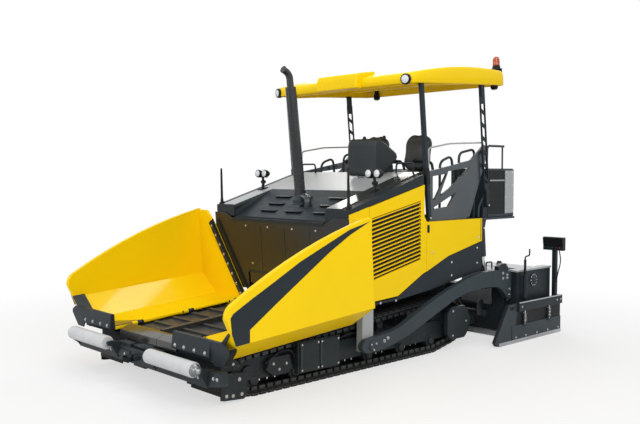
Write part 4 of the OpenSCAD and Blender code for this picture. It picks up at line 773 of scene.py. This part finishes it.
for name, side in SIDES:
    plate = Piece(f"railing_{name}", "machine", [satin, anthracite], side)
    plate.plate(RAILING, (1.166, 1.2))
    for _, x, z in POST_FEET:
        plate.box((x - 0.05, x + 0.05), (1.164, 1.203), (1.691, z + 0.045), 1)
        plate.rod((x, 1.165, z), (x, 1.264, z), 0.0148, 24, 1)
    plate.done(0.004, 2, ("railings",) if side > 0 else (), "anthracite_paint")
    rail = Piece(f"handrail_{name}", "machine", [pale, slate, anthracite], side)
    rail.tube(rounded([(-1.3, 1.184, 2.3), (-1.3, 1.184, 2.607), (-1.732, 1.184, 2.674),
                       (-2.44, 1.184, 2.704), (-2.47, 1.184, 2.64)], 0.05, 8), 0.011, 14)
    rail.tube(rounded([(-1.62, 1.11, 1.69), (-1.62, 1.11, 2.44), (-1.86, 1.11, 2.52), (-1.98, 1.11, 1.69)],
                      0.09, 8), 0.017, 16, 1)
    rail.tube(rounded([(-2.06, 1.08, 1.69), (-2.06, 1.08, 2.56), (-2.4, 1.08, 2.62), (-2.4, 1.08, 1.69)],
                      0.09, 8), 0.017, 16, 1)
    rail.tube(rounded([(-2.4, 1.08, 2.1), (-2.06, 1.08, 2.06)], 0.05), 0.014, 14, 1)
    rail.tube(rounded([(-2.95, 1.178, 2.665), (-2.56, 1.178, 2.665), (-2.545, 1.178, 2.05),
                       (-2.37, 1.178, 1.83), (-2.37, 1.178, 1.7)], 0.06, 8), 0.016, 16, 1)
    rail.tube(rounded([(-2.92, 1.178, 2.665), (-2.92, 1.178, 2.34)], 0.06, 8), 0.012, 16, 1)
    rail.tube(rounded([(-1.175, 0.76, hood_z(-1.175)), (-1.175, 0.76, 2.42), (-1.175, 1.04, 2.42),
                       (-1.175, 1.04, hood_z(-1.175))], 0.05, 8), 0.012, 14, 2)
    rail.done(0, 1, ("handrails",) if side > 0 else (), "slate_paint")

    box = Piece(f"cabinet_trim_{name}", "machine", [pale, black, slate], side)
    box.box((-3.175, -2.965), (1.194, 1.203), (1.735, 2.33))
    box.box((-2.955, -2.585), (1.194, 1.199), (1.735, 2.33), 1)
    box.box((-2.955, -2.6), (1.198, 1.203), (2.185, 2.203))
    box.box((-2.955, -2.94), (1.198, 1.203), (1.735, 2.33), 2)
    box.box((-3.2, -3.188), (0.6, 1.16), (1.74, 2.31), 2)
    box.box((-3.18, -2.58), (0.58, 1.18), (2.349, 2.358), 1)
    box.done(0.004)
    heads = Piece(f"cabinet_bolts_{name}", "machine", bright, side)
    for x in (-3.15, -2.99):
        for z in (1.765, 1.95, 2.12, 2.3):
            heads.lathe([(0, 0.013), (0.003, 0.011), (0.0045, 0.006)], (x, 1.202, z), OUT, 20)
    heads.done(0)

    seat = Piece(f"seat_{name}_frame", "machine", [slate, black], side)
    seat.lathe([(0, 0.15), (0.02, 0.15), (0.03, 0.06), (0.14, 0.06)], (SEAT_X, SEAT_Y, 1.69), UP, 32)
    for k in range(6):
        seat.lathe([(0, 0.115 - 0.004 * (k % 2)), (0.026, 0.135), (0.052, 0.115)],
                   (SEAT_X, SEAT_Y, 1.82 + k * 0.052), UP, 32, 1)
    seat.box((SEAT_X - 0.21, SEAT_X + 0.2), (SEAT_Y - 0.2, SEAT_Y + 0.2), (2.13, 2.2))
    seat.prism([(SEAT_X - 0.25, 2.16), (SEAT_X - 0.215, 2.16), (SEAT_X - 0.295, 2.66),
                (SEAT_X - 0.32, 2.66)], (SEAT_Y - 0.13, SEAT_Y + 0.13))
    for dy in (-0.255, 0.255):
        seat.tube(rounded([(SEAT_X - 0.24, SEAT_Y + dy, 2.3), (SEAT_X - 0.2, SEAT_Y + dy, 2.44),
                           (SEAT_X + 0.16, SEAT_Y + dy, 2.45)], 0.05), 0.02, 14)
        seat.lathe([(0, 0.022), (0.3, 0.03), (0.32, 0.02)], (SEAT_X - 0.15, SEAT_Y + dy, 2.455),
                   (1, 0, 0.02), 20, 1)
    seat.done(0.006, 2, ("seats",) if side > 0 else (), "seat_vinyl")
    back_up = Vector((-0.16, 0, 1)).normalized()
    pads = (("cushion", (SEAT_X, SEAT_Y, 2.2), OUT, BACK, 0.46, 0.47, 0.09, 0.115, 0.022),
            ("back", Vector((SEAT_X - 0.222, SEAT_Y, 2.325)) + back_up * 0.245, OUT, back_up, 0.42, 0.49,
             0.14, 0.085, 0.02))
    for part, centre, across, upward, width, height, corner, depth, crowned in pads:
        pad = Piece(f"seat_{name}_{part}", "machine", [vinyl, black], side)
        pad.cushion(centre, across, upward, width, height, corner, depth, crowned)
        pad.done(0, 1, (), "seat_vinyl", 60)

console = Piece("console_tub", "console", plastic)
console.prism([(-0.93, 2.245), (-0.905, 2.3), (-0.905, 2.64), (-0.925, 2.725), (-1.0, 2.742), (-1.1, 2.695),
               (-1.335, 2.56), (-1.365, 2.51), (-1.33, 2.445), (-1.16, 2.33), (-1.09, 2.296),
               (-1.0, 2.262)], (0.132, 0.638))
console.done(0.045, 5, ("console",), "console_plastic")
dash = Piece("console_dash", "console", [black, screen, slate, red], place=DASH)
dash.box((-0.3, 0.02), (0.175, 0.595), (-0.01, 0.01))
dash.box((-0.1, -0.005), (0.28, 0.49), (0.008, 0.014), 1)
for row in range(3):
    for column in range(7):
        x, y = -0.135 - row * 0.05, 0.225 + column * 0.053
        dash.lathe([(0, 0.013), (0.01, 0.013), (0.013, 0.009)], (x, y, 0.009), UP, 14,
                   3 if (row, column) == (0, 6) else 2)
for y in (0.21, 0.56):
    dash.tube([(-0.06, y, 0.0), (-0.07, y, 0.06)], 0.01, 12)
    dash.lathe([(0, 0.012), (0.02, 0.022), (0.045, 0.024), (0.06, 0.014)], (-0.07, y, 0.045), UP, 20)
dash.done(0.002)
foot = Piece("console_foot", "console", [slate, anthracite])
foot.prism([(-1.42, 1.715), (-1.28, 1.715), (-1.25, 2.42), (-1.33, 2.46), (-1.4, 2.4)], (0.26, 0.51))
foot.box((-1.44, -1.26), (0.23, 0.54), (1.715, 1.8), 1)
foot.done(0.01)

# Canopy
ROOF_X = (-1.04, 0.985)
ROOF_HALF = 1.288
ROOF_CORNER = 0.15


def roof_edge(x):
    """Height of the roof's side edge: low at the front, highest behind the middle."""
    t = (ROOF_X[1] - x) / (ROOF_X[1] - ROOF_X[0])
    return 0.118 + 0.36 * t - 0.295 * t * t


def roof_ring(inset, scale, height):
    middle = (ROOF_X[0] + ROOF_X[1]) / 2
    outline = round_outline((ROOF_X[1] - ROOF_X[0]) / 2 - inset, ROOF_HALF - inset, ROOF_CORNER - inset, 12)
    return [(middle + a * scale, b * scale, height(middle + a * scale, scale)) for a, b in outline]


def crown(drop):
    return lambda x, s: roof_edge(x) + 0.05 * (1 - s * s) - drop


roof = Piece("roof_shell", "canopy", yellow, place=ROOF)
outer = [roof_ring(0.012, 1, lambda x, s: -0.004), roof_ring(0.0, 1, lambda x, s: 0.01),
         roof_ring(0.002, 1, lambda x, s: roof_edge(x) - 0.06),
         roof_ring(0.01, 1, lambda x, s: roof_edge(x) - 0.026),
         roof_ring(0.03, 1, lambda x, s: roof_edge(x) - 0.006)]
outer += [roof_ring(0.03, s, crown(0.004)) for s in (0.97, 0.9, 0.78, 0.62, 0.42, 0.2, 0.002)]
inner = [roof_ring(0.05, s, crown(0.03)) for s in (0.002, 0.2, 0.42, 0.62, 0.78, 0.9, 0.97)]
inner += [roof_ring(0.04, 1, lambda x, s: roof_edge(x) - 0.06), roof_ring(0.032, 1, lambda x, s: -0.004)]
roof.rings(outer + inner, 0, True)
roof.done(0, 1, ("canopy_roof",), "yellow_paint", 50)
head = Piece("roof_header", "canopy", yellow, place=ROOF)
head.prism([(0.955, -0.012), (1.075, -0.004), (1.062, 0.11), (1.02, 0.185), (0.93, 0.196), (0.7, 0.215),
            (0.7, 0.1), (0.955, 0.09)], (-0.31, 0.44))
head.done(0.018, 4)
lid = Piece("canopy_trim", "canopy", [black, lens], place=ROOF)
for s in (1, -1):
    y = s * 1.18
    lid.lathe([(-0.05, 0.05), (-0.01, 0.066), (0.026, 0.068), (0.04, 0.06)], (0.96, y, 0.045),
              (1, s * 0.25, 0), 36)
    lid.lathe([(0.028, 0.054), (0.038, 0.052), (0.047, 0.036), (0.05, 0.0)], (0.96, y, 0.045),
              (1, s * 0.25, 0), 36, 1)
    lid.lathe([(0.1, 0.03), (0, 0.05), (-0.03, 0.052), (-0.055, 0.036)], (-0.99, s * 1.1, 0.006), UP, 28)
    lid.lathe([(-0.054, 0.033), (-0.062, 0.018), (-0.064, 0.0)], (-0.99, s * 1.1, 0.006), UP, 28, 1)
    lid.tube(rounded([(-0.9, s * 0.42, 0.215), (-0.9, s * 0.42, 0.262), (-0.9, s * 0.56, 0.262),
                      (-0.9, s * 0.56, 0.205)], 0.02), 0.008, 10)
lid.done(0.002, 2, ("canopy_lamps",), "lamp_lens")
light = Piece("beacon_lamp", "canopy", [black, amber], place=ROOF)
BEACON_X = -1.125
BEACON_Y = 1.08
light.box((BEACON_X - 0.014, BEACON_X), (BEACON_Y - 0.055, BEACON_Y + 0.055), (0.03, 0.245))
light.box((BEACON_X - 0.014, BEACON_X + 0.1), (BEACON_Y - 0.055, BEACON_Y + 0.055), (0.231, 0.245))
light.lathe([(0, 0.055), (0.03, 0.055), (0.038, 0.048), (0.045, 0.046)],
            (BEACON_X + 0.045, BEACON_Y, 0.244), UP, 36)
light.lathe([(0.044, 0.047), (0.05, 0.051), (0.125, 0.047), (0.15, 0.038), (0.163, 0.02), (0.166, 0.0)],
            (BEACON_X + 0.045, BEACON_Y, 0.244), UP, 36, 1)
for h in (0.07, 0.09, 0.11):
    light.lathe([(h, 0.0495), (h + 0.004, 0.0525), (h + 0.008, 0.0495)],
                (BEACON_X + 0.045, BEACON_Y, 0.244), UP, 36, 1)
light.done(0.003, 2, ("beacon",), "beacon_amber")
for body, foot_x, foot_z in POST_FEET:
    for name, side in SIDES:
        tilt = TRACK @ Matrix.Translation((foot_x, 0, foot_z)) @ Matrix.Rotation(math.radians(5.7), 4, "Y")
        post = Piece(f"{body}_{name}", body, [anthracite, bright, black], side, tilt)
        for h in (0.0, POST_LENGTH):
            post.lathe([(-0.048, 0.026), (0, 0.026), (0.004, 0.021), (0.006, 0.021)], (0, 1.26, h), OUT, 28)
            post.lathe([(0, 0.014), (0.006, 0.014), (0.01, 0.01)], (0, 1.264, h), OUT, 20, 1)
        if body == "canopy_front_posts":
            post.box((-0.027, 0.027), POST_Y, (-0.004, 1.684))
            post.box((-0.034, 0.034), (1.206, 1.264), (0.42, 0.62), 2)
        else:
            post.box((-0.036, 0.036), POST_Y, (-0.004, 0.22))
            post.box((-0.052, 0.052), RAIL_Y, (0.2, 0.3))
            post.box((-0.052, 0.052), RAIL_Y, (1.36, 1.48))
            post.box((-0.036, 0.036), POST_Y, (1.46, 1.684))
            for x in (-0.052, 0.038):
                post.box((x, x + 0.014), RAIL_Y, (0.29, 1.37))
            for k in range(6):
                z = 0.3 + k * 0.18
                post.prism([(-0.04, z), (0.04, z + 0.06), (0.04, z + 0.11), (-0.04, z + 0.05)],
                           (1.226, 1.244))
        replaced = (body,) if side > 0 else ()
        post.done(0.003, 2, replaced, "anthracite_paint")

# Screed and arms
TOW_X = -0.107
TOW_Z = 0.32
ARM_FACE = 1.36
CRANK_X = -3.06
CRANK_Y = 1.475
DIAL_X = -3.34
DIAL_Z = 0.79
SPRING_Y = 1.585
TOW_ARM = ((0.077, 0.323, 0.06), (0.023, 0.395, 0.06), (-0.167, 0.412, 0.1), (-0.524, 0.447, 0.2),
           (-1.31, 0.767, 0.4), (-2.034, 0.967, 0.36), (-2.538, 0.993, 0.24), (-2.906, 0.928, 0.03),
           (-2.906, 0.56, 0.02), (-2.83, 0.56, 0.02), (-2.632, 0.75, 0.14), (-2.248, 0.77, 0.18),
           (-1.777, 0.734, 0.4), (-0.653, 0.321, 0.2), (-0.244, 0.244, 0.1), (0.023, 0.244, 0.06))
for name, side in SIDES:
    beam = Piece(f"tow_arm_{name}", "screed", slate, side)
    beam.prism(filleted(TOW_ARM), (1.279, ARM_FACE))
    beam.done(0.007, 3, ("tow_arms",) if side > 0 else (), "slate_paint")
    arm = Piece(f"tow_arm_{name}_trim", "screed", [slate, bright, anthracite], side)
    arm.lathe([(0, 0.062), (0.012, 0.062), (0.018, 0.05)], (TOW_X, ARM_FACE, TOW_Z), OUT, 36)
    arm.bolts([(TOW_X + 0.045 * math.cos(t), 1.377, TOW_Z + 0.045 * math.sin(t)) for t in (0.5, 2.6, 4.7)],
              OUT, 0.008, 1)
    arm.bolts([(-0.3, ARM_FACE, 0.35), (-0.36, ARM_FACE, 0.375)], OUT, 0.014, 1)
    arm.bolts([(-2.7, ARM_FACE, 0.86), (-2.8, ARM_FACE, 0.86), (-2.7, ARM_FACE, 0.93),
               (-2.8, ARM_FACE, 0.9), (-2.86, ARM_FACE, 0.7), (-2.86, ARM_FACE, 0.62)], OUT, 0.013, 1)
    arm.prism([(-2.6, 0.955), (-2.6, 1.02), (-2.68, 1.06), (-2.78, 1.06), (-2.83, 1.0), (-2.83, 0.93)],
              (1.285, 1.353), "y", 2)
    arm.done(0.003)
    tail = Piece(f"screed_trim_{name}", "screed", [anthracite, bright, pale, black], side)
    tail.box((-2.835, -2.822), (0.05, 1.262), (0.02, 0.1), 1)
    tail.box((-3.31, -2.91), (0.48, 1.02), (0.895, 0.925), 2)
    for y in (0.6, 0.9):
        tail.tube(rounded([(-2.96, y, 0.92), (-2.96, y, 1.02), (-3.1, y, 1.02), (-3.1, y, 0.92)], 0.03),
                  0.01, 12, 3)
    tail.prism([(-2.86, 0.9), (-2.8, 0.9), (-2.8, 1.05), (-2.83, 1.08), (-2.86, 1.05)], (1.18, 1.24))
    tail.done(0.004)
    ext = Piece(f"extension_trim_{name}", f"extension_{name}",
                [anthracite, bright, slate, black, screen, red, pale], side)
    ext.box((-3.79, -2.93), (1.3, 1.43), (0.434, 0.93))
    ext.box((-3.8, -2.92), (1.29, 1.44), (0.93, 0.955), 6)
    ext.box((-3.79, -3.39), (0.3, 1.3), (0.434, 0.9))
    ext.box((-3.8, -3.38), (0.28, 1.29), (0.9, 0.922), 6)
    ext.lathe([(0, 0.088), (0.012, 0.088), (0.016, 0.06), (0.02, 0.035), (0.035, 0.03)],
              (DIAL_X, 1.43, DIAL_Z), OUT, 40, 2)
    ext.prism([(-2.28, 0.012), (-2.233, 0.06), (-2.543, 0.532), (-2.76, 0.536), (-2.7, 0.24),
               (-2.64, 0.012)], (1.556, 1.566), "y", 2)
    ext.prism([(-2.56, 0.47), (-2.59, 0.455), (-2.64, 0.455), (-2.66, 0.475), (-2.64, 0.5), (-2.58, 0.5)],
              (1.566, 1.568), "y", 3)
    ext.box((-3.845, -2.735), (1.55, 1.602), (0.425, 0.548))
    ext.box((-3.845, -2.735), (1.596, 1.606), (0.538, 0.553), 1)
    ext.box((-3.84, -2.7), (1.557, 1.561), (0.236, 0.43), 3)
    ext.box((-3.85, -2.61), (1.556, 1.574), (0.03, 0.24), 2)
    ext.box((-3.85, -2.3), (1.556, 1.58), (0.006, 0.052), 1)
    for x in (-3.52, -2.9):
        ext.rod((x, SPRING_Y, 0.235), (x, SPRING_Y, 0.43), 0.01, 14, 1)
        ext.tube([(x + 0.02 * math.cos(t), SPRING_Y + 0.02 * math.sin(t),
                   0.275 + 0.12 * t / (2 * math.pi * 6))
                  for t in (2 * math.pi * k / 14 for k in range(84))], 0.006, 8, 1)
        ext.lathe([(0, 0.03), (0.012, 0.03)], (x, SPRING_Y, 0.262), UP, 24, 2)
        ext.box((x - 0.05, x + 0.05), (1.56, 1.604), (0.225, 0.245), 2)
    ext.rod((CRANK_X, CRANK_Y, 0.53), (CRANK_X, CRANK_Y, 1.1), 0.017, 20, 3)
    ext.lathe([(0, 0.032), (0.32, 0.032), (0.33, 0.022)], (CRANK_X, CRANK_Y, 0.56), UP, 24)
    ext.tube(rounded([(CRANK_X, CRANK_Y, 1.08), (CRANK_X, CRANK_Y, 1.14), (-3.17, CRANK_Y, 1.15),
                      (-3.17, CRANK_Y, 1.24)], 0.03), 0.01, 12, 3)
    ext.prism([(-3.866, 1.19), (-3.795, 1.19), (-3.77, 1.365), (-3.866, 1.365)], (1.312, 1.628), "y", 3)
    ext.prism([(-3.7935, 1.255), (-3.79, 1.255), (-3.776, 1.35), (-3.782, 1.35)], (1.335, 1.515), "y", 4)
    for k in range(5):
        ext.lathe([(0, 0.011), (0.012, 0.011), (0.015, 0.007)], (-3.794, 1.34 + k * 0.06, 1.222), FORE, 14,
                  5 if k == 4 else 2)
    ext.tube(rounded([(-3.83, 1.55, 1.19), (-3.83, 1.58, 1.02), (-3.83, 1.53, 0.85), (-3.83, 1.49, 0.6)],
                     0.08), 0.008, 10, 3)
    ext.done(0.003)
    heads = Piece(f"extension_bolts_{name}", f"extension_{name}", bright, side)
    heads.bolts([(x, 1.574, 0.08) for x in (-3.78, -3.5, -3.22, -2.94, -2.7)])
    heads.bolts([(DIAL_X + 0.074 * math.cos(t), 1.442, DIAL_Z + 0.074 * math.sin(t))
                 for t in (math.pi * k / 5 for k in range(10))], OUT, 0.007)
    heads.bolts([(-3.8, 1.602, 0.485), (-3.7, 1.602, 0.485), (-2.8, 1.602, 0.485)])
    heads.done(0)
bar = Piece("screed_beam", "screed", [anthracite, bright])
bar.box((-3.2, -3.05), (-1.1, 1.1), (0.56, 0.66))
bar.box((-3.215, -3.195), (-1.1, 1.1), (0.645, 0.665), 1)
bar.done(0.004)

# Rear wall and rear faces of the screed boxes
rear = Piece("rear_trim", "machine", [anthracite, slate, black, red])
for _, side in SIDES:
    for y in (0.34, 0.86):
        rear.box((-2.346, -2.338), (side * (y - 0.245), side * (y + 0.245)), (1.12, 1.53))
        rear.box((-2.352, -2.345), (side * (y - 0.205), side * (y + 0.205)), (1.16, 1.49), 1)
        for z in (1.2, 1.44):
            rear.rod((-2.35, side * (y - 0.24), z - 0.035), (-2.35, side * (y - 0.24), z + 0.035), 0.01, 16,
                     2)
        rear.box((-2.362, -2.35), (side * (y + 0.14), side * (y + 0.18)), (1.29, 1.37), 2)
    rear.box((-2.356, -2.338), (side * 1.125, side * 1.185), (1.16, 1.44), 2)
    for z, kind in ((1.21, 1), (1.3, 3), (1.39, 3)):
        rear.lathe([(0, 0.026), (0.008, 0.024), (0.012, 0.012)], (-2.355, side * 1.155, z), BACK, 24, kind)
rear.done(0.003)
for name, side in SIDES:
    face = Piece(f"extension_rear_{name}", f"extension_{name}", [slate, black, red, bright], side)
    for y0, y1 in ((0.34, 0.8), (0.84, 1.27)):
        face.box((-3.797, -3.788), (y0, y1), (0.48, 0.86))
        face.tube(rounded([(-3.795, y0 + 0.12, 0.76), (-3.835, y0 + 0.12, 0.76), (-3.835, y1 - 0.12, 0.76),
                           (-3.795, y1 - 0.12, 0.76)], 0.03), 0.01, 12, 1)
        face.bolts([(-3.797, y, z) for y in (y0 + 0.03, y1 - 0.03) for z in (0.51, 0.83)], BACK, 0.008, 3)
    face.lathe([(0, 0.03), (0.006, 0.03), (0.01, 0.022)], (-3.789, 1.365, 0.8), BACK, 24, 2)
    face.box((-3.8, -3.786), (0.1, 1.5), (0.335, 0.365))
    face.done(0.003)

# Stage, lights and camera
scene = bpy.context.scene
scene.view_settings.view_transform = "Standard"
ground = bpy.data.meshes.new("ground")
ground.from_pydata([(-60, -60, 0), (60, -60, 0), (60, 60, 0), (-60, 60, 0)], [], [(0, 1, 2, 3)])
floor = bpy.data.objects.new("ground", ground)
scene.collection.objects.link(floor)
paper = bpy.data.materials.new("paper")
paper.use_nodes = True
tree = paper.node_tree
tree.nodes.clear()
matte = add_node(tree, "BsdfDiffuse", Color=(0.8, 0.8, 0.8, 1))
glow = add_node(tree, "Emission", Strength=1.0)
seen = add_node(tree, "LightPath").outputs
either = add_node(tree, "Math", "MAXIMUM", _0=seen["Is Camera Ray"], _1=seen["Is Transmission Ray"])
spot = add_node(tree, "TexCoord").outputs["Object"]
reach = add_node(tree, "VectorMath", "LENGTH", _0=spot).outputs["Value"]
fade = add_node(tree, "MapRange", Value=reach, From_Min=3.0, From_Max=8.0, To_Min=0.62, To_Max=1.0)
fade.interpolation_type = "SMOOTHSTEP"
share = add_node(tree, "Math", "MULTIPLY", _0=either, _1=fade)
mixed = add_node(tree, "MixShader", _0=share, _1=matte, _2=glow)
add_node(tree, "OutputMaterial", Surface=mixed)
ground.materials.append(paper)
floor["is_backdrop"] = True

world = bpy.data.worlds.new("studio")
scene.world = world
world.use_nodes = True
tree = world.node_tree
tree.nodes.clear()
seen = add_node(tree, "LightPath").outputs
first = add_node(tree, "Math", "MAXIMUM", _0=seen["Is Camera Ray"], _1=seen["Is Glossy Ray"])
second = add_node(tree, "Math", "MAXIMUM", _0=first, _1=seen["Is Transmission Ray"])
level = add_node(tree, "MapRange", Value=second, To_Min=0.55, To_Max=1.0)
sky = add_node(tree, "Background", Color=(1, 1, 1, 1), Strength=level)
add_node(tree, "OutputWorld", Surface=sky)


def softbox(name, place, size, watts):
    data = bpy.data.lights.new(name, "AREA")
    data.shape = "RECTANGLE"
    data.size, data.size_y = size
    data.energy = watts
    box = bpy.data.objects.new(name, data)
    box.location = place
    box.rotation_mode = "QUATERNION"
    box.rotation_quaternion = (Vector((0, 0, 1.3)) - Vector(place)).to_track_quat("-Z", "Y")
    box.visible_camera = False
    scene.collection.objects.link(box)


softbox("key", (5.0, 9.0, 7.5), (8, 6), 520)
softbox("top", (0.5, 0.0, 10.0), (9, 6), 140)
softbox("front", (11.0, -3.0, 5.0), (5, 5), 240)
softbox("rear", (-9.0, -6.0, 7.0), (7, 5), 340)
softbox("gleam", (-1.1, -0.72, 7.9), (0.6, 2.1), 52)

lens_data = bpy.data.cameras.new("camera")
lens_data.lens = 44.68
lens_data.sensor_width = 36
camera = bpy.data.objects.new("camera", lens_data)
camera.location = (7.265, 7.501, 2.292)
camera.rotation_mode = "QUATERNION"
camera.rotation_quaternion = Vector((-0.6843, -0.7276, -0.0487)).to_track_quat("-Z", "Y")
scene.collection.objects.link(camera)
scene.camera = camera

low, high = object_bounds()
